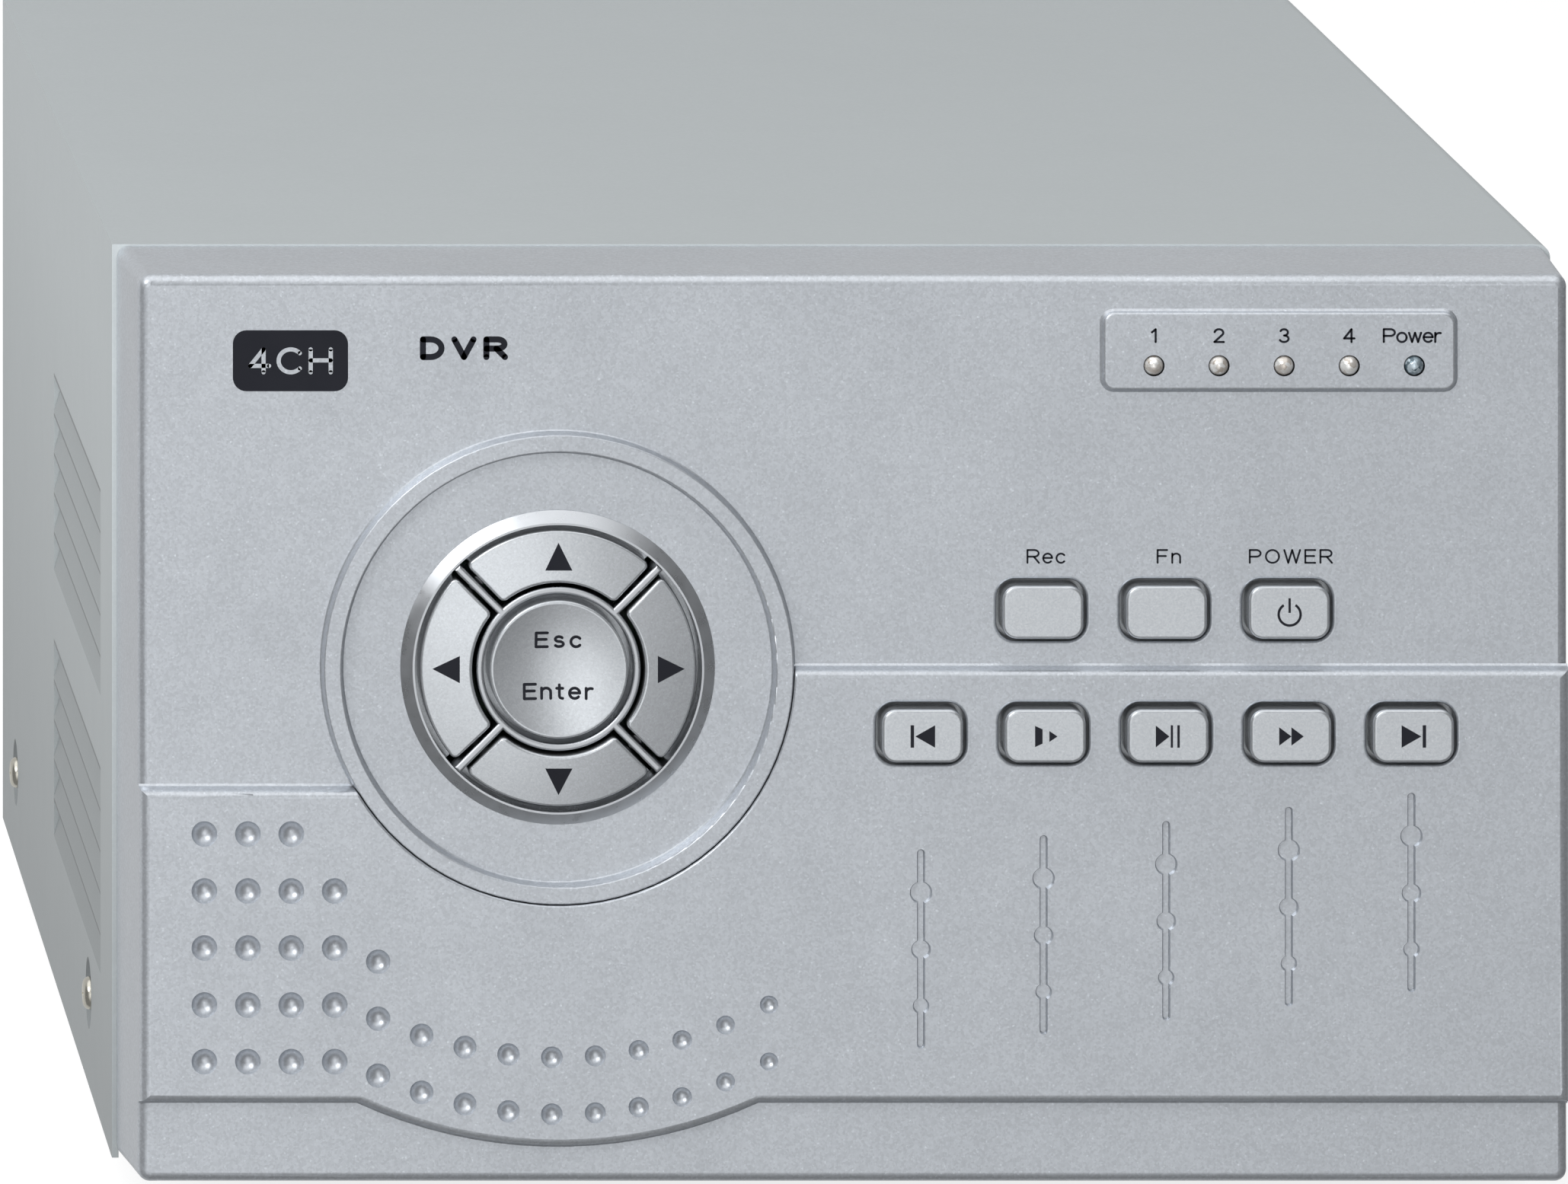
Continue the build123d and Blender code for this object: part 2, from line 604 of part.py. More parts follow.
# ------------------------------------------------------------------ lamps

LAMP_FLANGE_RADIUS = 1.9
LAMP_FLANGE_THICK = 1.0
LAMP_FLANGE_Y = INNER_WALL_Y + 0.1
HOLDER_MARGIN = 3.0
HOLDER_HEIGHT = 5.0
HOLDER_CORNER = 0.5
HOLDER_EDGE = 0.4
HOLDER_SHIFT = 0.6


def lamp(x, z):
    """Domed three-millimetre lamp with its base flange behind the front wall."""
    tip_y = FRONT_Y - LAMP_PLATE_RISE - LAMP_PROUD
    with BuildPart() as body:
        with BuildSketch(face_plane(LAMP_FLANGE_Y + LAMP_FLANGE_THICK / 2)):
            with Locations((x, z)):
                Circle(LAMP_RADIUS)
        extrude(amount=LAMP_FLANGE_Y + LAMP_FLANGE_THICK / 2 - tip_y - LAMP_RADIUS)
        with Locations((x, tip_y + LAMP_RADIUS, z)):
            Sphere(LAMP_RADIUS)
        with BuildSketch(face_plane(LAMP_FLANGE_Y + LAMP_FLANGE_THICK)):
            with Locations((x, z)):
                Circle(LAMP_FLANGE_RADIUS)
        extrude(amount=LAMP_FLANGE_THICK)
    return body.part


with BuildPart() as channel_leds:
    for x, z in LAMP_SPOTS[:4]:
        add(lamp(x, z))
save(channel_leds.part, "channel_leds")
save(lamp(*LAMP_SPOTS[4]), "power_led")

with BuildPart() as led_holder:
    with BuildSketch(face_plane(KEY_BOARD_Y)):
        with Locations((LAMP_PLATE_X + HOLDER_SHIFT, FACE_BOTTOM + LAMP_HEIGHT)):
            RectangleRounded(4 * LAMP_PITCH + 2 * HOLDER_MARGIN, HOLDER_HEIGHT, HOLDER_CORNER)
    extrude(amount=KEY_BOARD_Y - LAMP_FLANGE_Y - LAMP_FLANGE_THICK)
    fillet(led_holder.edges().filter_by(Axis.X), HOLDER_EDGE)
save(led_holder.part, "led_holder")


# ------------------------------------------------------------------ sheet-metal case

SIDE_SCREW_DEPTHS = [44.6, 196.7]
SIDE_SCREW_HEIGHT = 14.0
RECESS_RADIUS = 5.4
RECESS_DEPTH = 0.7
SCREW_RADIUS = 1.5
SCREW_CLEARANCE = 1.7
SCREW_FIT = 1.55
LOUVRE_START = 21.6
LOUVRE_LENGTH = 92.4
LOUVRE_PITCH = 6.25
LOUVRE_TOPS = [FACE_BOTTOM + 92.6, FACE_BOTTOM + 50.6]
LOUVRE_HEIGHT = 5.6
LOUVRE_DEPTH = 1.7
REAR_LIP = 12.0
REAR_LIP_FIT = 0.5
REAR_LIP_JOIN = 0.4
RECESS_TAPER = 40.0
REAR_LIP_SCREWS = [-70.0, 70.0]
REAR_LIP_SCREW_Z = COVER_TOP - 7.0

COVER_SIDE = COVER_WIDTH / 2
SIDE_SCREW_SPOTS = [(BEZEL_BACK_Y + depth, CASE_BOTTOM + SIDE_SCREW_HEIGHT) for depth in SIDE_SCREW_DEPTHS]


def louvre_tops():
    """Top edge of every louvre on one side of the cover."""
    return [top - LOUVRE_PITCH * slot for top in LOUVRE_TOPS for slot in range(5)]


def louvre_bank(y, length, surface_x):
    """Wedges that lean in from surface_x on both sides, widest at the top of each louvre."""
    with BuildPart() as bank:
        with BuildSketch(face_plane(y + length)):
            for top in louvre_tops():
                for side in (-1, 1):
                    outer = side * surface_x
                    inner = side * (surface_x - LOUVRE_DEPTH)
                    Polygon((outer, top - LOUVRE_HEIGHT), (outer, top), (inner, top), align=None)
        extrude(amount=length)
    return bank.part


LOUVRE_Y = BEZEL_BACK_Y + LOUVRE_START
outer_louvres = louvre_bank(LOUVRE_Y, LOUVRE_LENGTH, COVER_SIDE)
inner_louvres = louvre_bank(LOUVRE_Y - SHEET, LOUVRE_LENGTH + 2 * SHEET, COVER_SIDE - SHEET)

with BuildPart() as top_cover:
    with BuildSketch(face_plane(REAR_Y)):
        with Locations((0, (CASE_BOTTOM + COVER_TOP) / 2)):
            cover_outside = Rectangle(COVER_WIDTH, COVER_TOP - CASE_BOTTOM)
        fillet(cover_outside.vertices().sort_by(Axis.Z)[-2:], COVER_BEND)
        with Locations((0, (CASE_BOTTOM + COVER_TOP) / 2 - SHEET)):
            Rectangle(COVER_WIDTH - 2 * SHEET, COVER_TOP - CASE_BOTTOM, mode=Mode.SUBTRACT)
    extrude(amount=REAR_Y - BEZEL_BACK_Y)
    add(inner_louvres)
    add(outer_louvres, mode=Mode.SUBTRACT)
    # Rear lip folded down over the rear panel
    with BuildSketch(face_plane(REAR_Y)):
        with Locations((0, COVER_TOP - SHEET - REAR_LIP / 2)):
            Rectangle(COVER_WIDTH - 2 * SHEET - 2 * REAR_LIP_FIT, REAR_LIP + REAR_LIP_JOIN)
        with Locations(*[(x, REAR_LIP_SCREW_Z) for x in REAR_LIP_SCREWS]):
            Circle(SCREW_CLEARANCE, mode=Mode.SUBTRACT)
    extrude(amount=SHEET)
    # Pressed screw recesses low on both sides
    for side in (-1, 1):
        with BuildSketch(Plane.YZ.offset(side * (COVER_SIDE - SHEET))):
            with Locations(*SIDE_SCREW_SPOTS):
                Circle(RECESS_RADIUS)
        extrude(amount=-side * RECESS_DEPTH, taper=RECESS_TAPER)
        with BuildSketch(Plane.YZ.offset(side * COVER_SIDE)):
            with Locations(*SIDE_SCREW_SPOTS):
                Circle(RECESS_RADIUS)
        extrude(amount=-side * RECESS_DEPTH, taper=RECESS_TAPER, mode=Mode.SUBTRACT)
        with BuildSketch(Plane.YZ.offset(side * COVER_SIDE)):
            with Locations(*SIDE_SCREW_SPOTS):
                Circle(SCREW_CLEARANCE)
        extrude(amount=-side * 3 * SHEET, mode=Mode.SUBTRACT)
save(top_cover.part, "top_cover")

TRAY_SIDE = COVER_SIDE - SHEET - RECESS_DEPTH - 0.1
TRAY_FLANGE = 22.0
FRAME_Y = BEZEL_BACK_Y + 0.5
FRAME_TOP = COVER_TOP - SHEET - 1.0
FRAME_SIDE = 103.0
FRAME_WINDOW = (-88.0, 88.0, 26.0, 128.0)
FRAME_WINDOW_CORNER = 4.0

# Main board, its standoffs and the drive bridge stand on the tray.
STANDOFF_HEIGHT = 6.0
STANDOFF_RADIUS = 3.0
STANDOFF_HOLE = 1.3
STANDOFF_FOOT = 1.28
STANDOFF_BORE = 1.22
STANDOFF_FLOOR = 0.5
BOARD_BOTTOM = FLOOR_TOP + STANDOFF_HEIGHT
BOARD_TOP = BOARD_BOTTOM + BOARD_THICK
BOARD_WIDTH = 160.0
BOARD_DEPTH = 112.0
BOARD_REAR_Y = PANEL_INNER_Y - 1.0
BOARD_CENTRE_Y = BOARD_REAR_Y - BOARD_DEPTH / 2
STANDOFF_SPOTS = [(x, BOARD_CENTRE_Y + y) for x in (-75.0, 75.0) for y in (-51.0, 10.0)] + [
    (-75.0, BOARD_CENTRE_Y + 32.0),
    (40.0, BOARD_CENTRE_Y + 30.0),
]

BRIDGE_TOP = 61.0
BRIDGE_HALF = 88.0
BRIDGE_FOOT = 10.0
BRIDGE_SPAN = (-86.0, 70.0)
BRIDGE_SCREWS = [(x, y) for x in (-94.0, 94.0) for y in (-76.0, 60.0)]

FEET_SPOTS = [(x, y) for x in (-84.0, 84.0) for y in (-62.0, 96.0)]
FOOT_RADIUS = 9.0
FOOT_TAPER = -4.0
FOOT_EDGE = 0.8
FOOT_SEAT = 3.0
FOOT_WELL_RADIUS = 4.2
FOOT_SCREW_RADIUS = 2.0
FOOT_SCREW_CLEARANCE = FOOT_SCREW_RADIUS + 0.1

with BuildPart() as base_chassis:
    with BuildSketch(Plane.XY.offset(CASE_BOTTOM)):
        with Locations((0, (FRAME_Y + PANEL_INNER_Y) / 2)):
            Rectangle(2 * TRAY_SIDE, PANEL_INNER_Y - FRAME_Y)
    extrude(amount=SHEET)
    for side in (-1, 1):
        with BuildSketch(Plane.YZ.offset(side * TRAY_SIDE)):
            with Locations(((FRAME_Y + PANEL_INNER_Y) / 2, CASE_BOTTOM + TRAY_FLANGE / 2)):
                Rectangle(PANEL_INNER_Y - FRAME_Y, TRAY_FLANGE)
            with Locations(*SIDE_SCREW_SPOTS):
                Circle(SCREW_FIT, mode=Mode.SUBTRACT)
        extrude(amount=-side * SHEET)
    with BuildSketch(face_plane(FRAME_Y + SHEET)):
        with Locations((0, (CASE_BOTTOM + FRAME_TOP) / 2)):
            Rectangle(2 * FRAME_SIDE, FRAME_TOP - CASE_BOTTOM)
        with Locations(((FRAME_WINDOW[0] + FRAME_WINDOW[1]) / 2, (FRAME_WINDOW[2] + FRAME_WINDOW[3]) / 2)):
            RectangleRounded(
                FRAME_WINDOW[1] - FRAME_WINDOW[0],
                FRAME_WINDOW[3] - FRAME_WINDOW[2],
                FRAME_WINDOW_CORNER,
                mode=Mode.SUBTRACT,
            )
        with Locations(*[(x, FACE_BOTTOM + height) for x, height in CASE_BOSSES]):
            Circle(SCREW_CLEARANCE, mode=Mode.SUBTRACT)
    extrude(amount=SHEET)
    with BuildSketch(Plane.XY.offset(CASE_BOTTOM)):
        with Locations(*BRIDGE_SCREWS):
            Circle(SCREW_FIT)
        with Locations(*STANDOFF_SPOTS):
            Circle(STANDOFF_HOLE)
        with Locations(*FEET_SPOTS):
            Circle(FOOT_SCREW_CLEARANCE)
    extrude(amount=SHEET, mode=Mode.SUBTRACT)
save(base_chassis.part, "base_chassis")

# Connectors along the rear edge of the main board, as X stations and heights above the board.
BNC_SPOTS = [-68.0 + 18.0 * jack for jack in range(5)]
BNC_Z = BOARD_TOP + 9.0
AUDIO_SPOTS = [20.0, 34.0]
AUDIO_Z = BOARD_TOP + 7.0
NETWORK_X = 54.0
NETWORK_SIZE = (16.0, 13.4)
POWER_X = 72.0
POWER_SIZE = (9.0, 11.0)

FAN_X = -58.0
FAN_Z = 98.0
FAN_SIDE = 60.0
FAN_DEPTH = 15.0
FAN_SCREW = 25.0
FAN_DUCT = 28.6
FAN_HUB = 12.5
# Grille rings as (radius, number of holes), and the field of slots beside the fan
GRILLE_RINGS = [(3.5, 3), (9.0, 9), (14.5, 15), (20.0, 21), (25.5, 27)]
GRILLE_HOLE = 2.0
VENT_X = 40.0
VENT_PITCH = (7.0, 12.0)
VENT_COUNT = (12, 4)
VENT_SLOT = (8.0, 3.0)
PANEL_FOOT = 10.0
PANEL_FOOT_WIDTH = 18.0
PANEL_FOOT_X = 92.0
PANEL_FOOT_SCREWS = [(x, PANEL_INNER_Y - 6.0) for x in (-PANEL_FOOT_X, PANEL_FOOT_X)]
BNC_HOLE = 5.2
AUDIO_HOLE = 4.6
SOCKET_GAP = 0.3

with BuildPart() as rear_panel:
    with BuildSketch(face_plane(PANEL_Y)):
        with Locations((0, (CASE_BOTTOM + FRAME_TOP) / 2)):
            Rectangle(2 * TRAY_SIDE, FRAME_TOP - CASE_BOTTOM)
        with Locations(*[(x, BNC_Z) for x in BNC_SPOTS]):
            Circle(BNC_HOLE, mode=Mode.SUBTRACT)
        with Locations(*[(x, AUDIO_Z) for x in AUDIO_SPOTS]):
            Circle(AUDIO_HOLE, mode=Mode.SUBTRACT)
        with Locations((NETWORK_X, BOARD_TOP + NETWORK_SIZE[1] / 2)):
            Rectangle(NETWORK_SIZE[0] + 2 * SOCKET_GAP, NETWORK_SIZE[1] + 2 * SOCKET_GAP, mode=Mode.SUBTRACT)
        with Locations((POWER_X, BOARD_TOP + POWER_SIZE[1] / 2)):
            Rectangle(POWER_SIZE[0] + 2 * SOCKET_GAP, POWER_SIZE[1] + 2 * SOCKET_GAP, mode=Mode.SUBTRACT)
        with Locations(*[(x, REAR_LIP_SCREW_Z) for x in REAR_LIP_SCREWS]):
            Circle(SCREW_FIT, mode=Mode.SUBTRACT)
        # Fan grille: rings of round holes, and the four fan screws
        with Locations((FAN_X, FAN_Z)):
            for ring_radius, holes in GRILLE_RINGS:
                with PolarLocations(ring_radius, holes):
                    Circle(GRILLE_HOLE, mode=Mode.SUBTRACT)
            with GridLocations(2 * FAN_SCREW, 2 * FAN_SCREW, 2, 2):
                Circle(SCREW_CLEARANCE, mode=Mode.SUBTRACT)
        # Vent field beside the fan
        with Locations((VENT_X, FAN_Z)):
            with GridLocations(*VENT_PITCH, *VENT_COUNT):
                SlotOverall(*VENT_SLOT, rotation=90, mode=Mode.SUBTRACT)
    extrude(amount=SHEET)
    with BuildSketch(Plane.XY.offset(FLOOR_TOP)):
        with Locations((0, PANEL_INNER_Y - PANEL_FOOT / 2)):
            for side in (-1, 1):
                with Locations((side * PANEL_FOOT_X, 0)):
                    Rectangle(PANEL_FOOT_WIDTH, PANEL_FOOT)
        with Locations(*PANEL_FOOT_SCREWS):
            Circle(SCREW_FIT, mode=Mode.SUBTRACT)
    extrude(amount=SHEET)
save(rear_panel.part, "rear_panel")

with BuildPart() as rubber_feet:
    with BuildSketch(Plane.XY):
        with Locations(*FEET_SPOTS):
            Circle(FOOT_RADIUS)
    extrude(amount=FOOT_HEIGHT, taper=FOOT_TAPER)
    fillet(rubber_feet.edges().group_by(Axis.Z)[0], FOOT_EDGE)
    with BuildSketch(Plane.XY):
        with Locations(*FEET_SPOTS):
            Circle(FOOT_WELL_RADIUS)
    extrude(amount=FOOT_HEIGHT - FOOT_SEAT, mode=Mode.SUBTRACT)
    with BuildSketch(Plane.XY):
        with Locations(*FEET_SPOTS):
            Circle(FOOT_SCREW_CLEARANCE)
    extrude(amount=FOOT_HEIGHT + FOOT_SEAT, mode=Mode.SUBTRACT)
save(rubber_feet.part, "rubber_feet")


# ------------------------------------------------------------------ screws

CROSS_WIDTH = 0.7
CROSS_TAPER = 12.0
TIP_EDGE = 0.4


def pan_screw(radius, length, head_radius, head_height):
    """Cross-recess pan-head screw, head above the origin and shank below it."""
    with BuildPart() as screw:
        with BuildSketch(Plane.XY):
            Circle(head_radius)
        extrude(amount=head_height)
        fillet(screw.faces().sort_by(Axis.Z)[-1].edges(), 0.7 * head_height)
        with BuildSketch(Plane.XY.offset(head_height)):
            Rectangle(1.1 * head_radius, CROSS_WIDTH)
            Rectangle(CROSS_WIDTH, 1.1 * head_radius)
        extrude(amount=-0.55 * head_height, taper=CROSS_TAPER, mode=Mode.SUBTRACT)
        with BuildSketch(Plane.XY):
            Circle(radius)
        extrude(amount=-length)
        fillet(screw.faces().sort_by(Axis.Z)[0].edges(), TIP_EDGE)
    return screw.part


case_screw = pan_screw(radius=SCREW_RADIUS, length=6.0, head_radius=2.5, head_height=1.6)
fan_screw = pan_screw(radius=SCREW_RADIUS, length=16.5, head_radius=2.75, head_height=2.0)
board_screw = pan_screw(radius=1.2, length=6.0, head_radius=2.3, head_height=1.6)
frame_screw = pan_screw(radius=1.2, length=9.0, head_radius=2.6, head_height=1.8)
drive_screw = pan_screw(radius=1.45, length=3.6, head_radius=2.6, head_height=1.4)
foot_screw = pan_screw(radius=FOOT_SCREW_RADIUS, length=6.5, head_radius=3.6, head_height=2.2)

SCREW_SEAT = COVER_SIDE - RECESS_DEPTH

with BuildPart() as case_screws:
    for side in (-1, 1):
        for y, z in SIDE_SCREW_SPOTS:
            with Locations(Plane(origin=(side * SCREW_SEAT, y, z), x_dir=(0, 1, 0), z_dir=(side, 0, 0))):
                add(case_screw)
    for x in REAR_LIP_SCREWS:
        with Locations(Plane(origin=(x, REAR_Y, REAR_LIP_SCREW_Z), x_dir=(-1, 0, 0), z_dir=(0, 1, 0))):
            add(case_screw)
    for x in (FAN_X - FAN_SCREW, FAN_X + FAN_SCREW):
        for z in (FAN_Z - FAN_SCREW, FAN_Z + FAN_SCREW):
            with Locations(Plane(origin=(x, PANEL_Y, z), x_dir=(-1, 0, 0), z_dir=(0, 1, 0))):
                add(fan_screw)
    for x, y in FEET_SPOTS:
        with Locations(Plane(origin=(x, y, FOOT_HEIGHT - FOOT_SEAT), x_dir=(1, 0, 0), z_dir=(0, 0, -1))):
            add(foot_screw)
save(case_screws.part, "case_screws")


# ------------------------------------------------------------------ main board

with BuildPart() as board_standoffs:
    with BuildSketch(Plane.XY.offset(FLOOR_TOP)):
        with Locations(*STANDOFF_SPOTS):
            RegularPolygon(STANDOFF_RADIUS, 6)
    extrude(amount=STANDOFF_HEIGHT)
    with BuildSketch(Plane.XY.offset(CASE_BOTTOM)):
        with Locations(*STANDOFF_SPOTS):
            Circle(STANDOFF_FOOT)
    extrude(amount=SHEET)
    with BuildSketch(Plane.XY.offset(BOARD_BOTTOM)):
        with Locations(*STANDOFF_SPOTS):
            Circle(STANDOFF_BORE)
    extrude(amount=-STANDOFF_HEIGHT + STANDOFF_FLOOR, mode=Mode.SUBTRACT)
save(board_standoffs.part, "board_standoffs")

with BuildPart() as main_board:
    with BuildSketch(Plane.XY.offset(BOARD_BOTTOM)):
        with Locations((0, BOARD_CENTRE_Y)):
            RectangleRounded(BOARD_WIDTH, BOARD_DEPTH, BOARD_CORNER)
        with Locations(*STANDOFF_SPOTS):
            Circle(SCREW_CLEARANCE, mode=Mode.SUBTRACT)
    extrude(amount=BOARD_THICK)
save(main_board.part, "main_board")

SINK_X = -20.0
SINK_Y = BOARD_CENTRE_Y - 8.0
SINK_SIDE = 30.0
SINK_PLATE = 2.0
SINK_FINS = 8
SINK_FIN_THICK = 1.0
SINK_FIN_HEIGHT = 10.0
SINK_FIN_PITCH = (SINK_SIDE - SINK_FIN_THICK) / (SINK_FINS - 1)
CHIP_TOP = 2.2
PROCESSOR_SIDE = 27.0
PROCESSOR_CORNER = 0.6
CHIP_THICK = 1.4
# Smaller chips as (x, y from the heatsink, width, depth)
SMALL_CHIPS = [
    (18.0, -9.0, 20.0, 10.0),
    (18.0, 9.0, 20.0, 10.0),
    (-58.0, -4.0, 14.0, 14.0),
    (-58.0, 16.0, 14.0, 14.0),
    (50.0, -10.0, 12.0, 12.0),
]

with BuildPart() as board_chips:
    with BuildSketch(Plane.XY.offset(BOARD_TOP)):
        with Locations((SINK_X, SINK_Y)):
            RectangleRounded(PROCESSOR_SIDE, PROCESSOR_SIDE, PROCESSOR_CORNER)
    extrude(amount=CHIP_TOP)
    with BuildSketch(Plane.XY.offset(BOARD_TOP)):
        for x, offset, chip_width, chip_depth in SMALL_CHIPS:
            with Locations((x, SINK_Y + offset)):
                Rectangle(chip_width, chip_depth)
    extrude(amount=CHIP_THICK)
save(board_chips.part, "board_chips")

with BuildPart() as heatsink:
    with BuildSketch(Plane.XY.offset(BOARD_TOP + CHIP_TOP)):
        with Locations((SINK_X, SINK_Y)):
            Rectangle(SINK_SIDE, SINK_SIDE)
    extrude(amount=SINK_PLATE)
    with BuildSketch(Plane.XY.offset(BOARD_TOP + CHIP_TOP + SINK_PLATE)):
        with Locations((SINK_X, SINK_Y)):
            with GridLocations(SINK_FIN_PITCH, 0, SINK_FINS, 1):
                Rectangle(SINK_FIN_THICK, SINK_SIDE)
    extrude(amount=SINK_FIN_HEIGHT)
save(heatsink.part, "heatsink")


# ------------------------------------------------------------------ rear connectors

BNC_RADIUS = 4.85
BNC_TIP_Y = REAR_Y + CONNECTOR_REACH
BNC_BLOCK = 14.5
BNC_BLOCK_DEPTH = 13.0
BNC_BLOCK_CORNER = 0.8
BNC_BLOCK_Y = PANEL_INNER_Y - 0.1
BNC_CORE = 1.9
BNC_CORE_STEP = 4.0
BNC_PEG = 1.0
BNC_PEG_HEIGHT = 1.2
BNC_PEG_GRID = (10.0, 9.0)
BNC_BORE = 0.75
BNC_BORE_DEPTH = 12.0
BNC_NUT = 7.2
BNC_NUT_THICK = 2.2
BNC_MOUTH = 4.1
BNC_STUD = 0.95
BNC_STUD_REACH = 5.6
BNC_STUD_LENGTH = 1.4
BNC_STUD_STEP = 4.5
PIN_RADIUS = 0.7
PIN_BORE = 0.35
PIN_LENGTH = 6.9
PIN_STEP = 5.0

with BuildPart() as bnc_bodies:
    with BuildSketch(face_plane(BNC_BLOCK_Y)):
        with Locations(*[(x, BOARD_TOP + BNC_BLOCK / 2 + BNC_PEG) for x in BNC_SPOTS]):
            RectangleRounded(BNC_BLOCK, BNC_BLOCK, BNC_BLOCK_CORNER)
    extrude(amount=BNC_BLOCK_DEPTH)
    with BuildSketch(face_plane(BNC_BLOCK_Y)):
        with Locations(*[(x, BNC_Z) for x in BNC_SPOTS]):
            Circle(BNC_CORE)
    extrude(amount=-(BNC_TIP_Y - BNC_CORE_STEP - BNC_BLOCK_Y))
    with BuildSketch(Plane.XY.offset(BOARD_TOP)):
        for x in BNC_SPOTS:
            with Locations((x, BNC_BLOCK_Y - BNC_BLOCK_DEPTH / 2)):
                with GridLocations(*BNC_PEG_GRID, 2, 2):
                    Circle(BNC_PEG)
    extrude(amount=BNC_PEG_HEIGHT)
    with BuildSketch(face_plane(BNC_TIP_Y)):
        with Locations(*[(x, BNC_Z) for x in BNC_SPOTS]):
            Circle(BNC_BORE)
    extrude(amount=BNC_BORE_DEPTH, mode=Mode.SUBTRACT)
save(bnc_bodies.part, "bnc_bodies")

with BuildPart() as bnc_shells:
    with BuildSketch(face_plane(BNC_TIP_Y)):
        with Locations(*[(x, BNC_Z) for x in BNC_SPOTS]):
            Circle(BNC_RADIUS)
    extrude(amount=BNC_TIP_Y - BNC_BLOCK_Y)
    with BuildSketch(face_plane(REAR_Y + BNC_NUT_THICK)):
        with Locations(*[(x, BNC_Z) for x in BNC_SPOTS]):
            RegularPolygon(BNC_NUT, 6)
    extrude(amount=BNC_NUT_THICK + SHEET)
    with BuildSketch(face_plane(BNC_TIP_Y)):
        with Locations(*[(x, BNC_Z) for x in BNC_SPOTS]):
            Circle(BNC_MOUTH)
    extrude(amount=BNC_TIP_Y - BNC_BLOCK_Y, mode=Mode.SUBTRACT)
    for x in BNC_SPOTS:
        for side in (-1, 1):
            with BuildSketch(Plane.YZ.offset(x + side * BNC_STUD_REACH)):
                with Locations((BNC_TIP_Y - BNC_STUD_STEP, BNC_Z)):
                    Circle(BNC_STUD)
            extrude(amount=-side * BNC_STUD_LENGTH)
save(bnc_shells.part, "bnc_shells")

with BuildPart() as bnc_pins:
    with BuildSketch(face_plane(BNC_TIP_Y - PIN_STEP)):
        with Locations(*[(x, BNC_Z) for x in BNC_SPOTS]):
            Circle(PIN_RADIUS)
            Circle(PIN_BORE, mode=Mode.SUBTRACT)
    extrude(amount=PIN_LENGTH)
save(bnc_pins.part, "bnc_pins")

AUDIO_RADIUS = 4.15
AUDIO_COLLAR_RADIUS = 4.5
AUDIO_REACH = 9.0
AUDIO_COLLAR_Y = PANEL_Y + 0.5
AUDIO_BORE = 3.4
AUDIO_CORE = 3.3
AUDIO_CORE_BORE = 1.6
AUDIO_CORE_EXTRA = 1.5
AUDIO_BLOCK = (28.0, 13.0)
AUDIO_BLOCK_DEPTH = 12.0
AUDIO_BLOCK_CORNER = 0.8
AUDIO_BLOCK_Y = PANEL_INNER_Y - 0.1
NETWORK_DEPTH = 21.0
NETWORK_MOUTH = (11.8, 6.8)
NETWORK_LATCH = (6.0, 3.0)
NETWORK_LATCH_RISE = 4.2
NETWORK_PROUD = 0.5
NETWORK_MOUTH_DEPTH = 12.0
POWER_PROUD = 0.3
POWER_BORE = 2.9
POWER_BARREL = 10.0
POWER_BACK = 4.0
POWER_PIN = 1.05
POWER_PIN_LENGTH = 9.0
POWER_BACK_Y = REAR_Y + POWER_PROUD - POWER_BARREL

with BuildPart() as audio_block:
    with BuildSketch(face_plane(AUDIO_BLOCK_Y)):
        with Locations(((AUDIO_SPOTS[0] + AUDIO_SPOTS[1]) / 2, BOARD_TOP + AUDIO_BLOCK[1] / 2)):
            RectangleRounded(*AUDIO_BLOCK, AUDIO_BLOCK_CORNER)
    extrude(amount=AUDIO_BLOCK_DEPTH)
    with BuildSketch(face_plane(AUDIO_BLOCK_Y)):
        with Locations(*[(x, AUDIO_Z) for x in AUDIO_SPOTS]):
            Circle(AUDIO_CORE)
            Circle(AUDIO_CORE_BORE, mode=Mode.SUBTRACT)
    extrude(amount=-(AUDIO_REACH + AUDIO_CORE_EXTRA))
save(audio_block.part, "audio_block")

with BuildPart() as audio_shells:
    with BuildSketch(face_plane(AUDIO_COLLAR_Y)):
        with Locations(*[(x, AUDIO_Z) for x in AUDIO_SPOTS]):
            Circle(AUDIO_COLLAR_RADIUS)
            Circle(AUDIO_BORE, mode=Mode.SUBTRACT)
    extrude(amount=AUDIO_COLLAR_Y - PANEL_INNER_Y)
    with BuildSketch(face_plane(AUDIO_COLLAR_Y + AUDIO_REACH)):
        with Locations(*[(x, AUDIO_Z) for x in AUDIO_SPOTS]):
            Circle(AUDIO_RADIUS)
            Circle(AUDIO_BORE, mode=Mode.SUBTRACT)
    extrude(amount=AUDIO_REACH)
save(audio_shells.part, "audio_shells")

with BuildPart() as network_jack:
    with BuildSketch(face_plane(REAR_Y + NETWORK_PROUD)):
        with Locations((NETWORK_X, BOARD_TOP + NETWORK_SIZE[1] / 2)):
            Rectangle(*NETWORK_SIZE)
    extrude(amount=NETWORK_DEPTH)
    with BuildSketch(face_plane(REAR_Y + NETWORK_PROUD)):
        with Locations((NETWORK_X, BOARD_TOP + NETWORK_SIZE[1] / 2)):
            Rectangle(*NETWORK_MOUTH)
            with Locations((0, NETWORK_LATCH_RISE)):
                Rectangle(*NETWORK_LATCH)
    extrude(amount=NETWORK_MOUTH_DEPTH, mode=Mode.SUBTRACT)
save(network_jack.part, "network_jack")

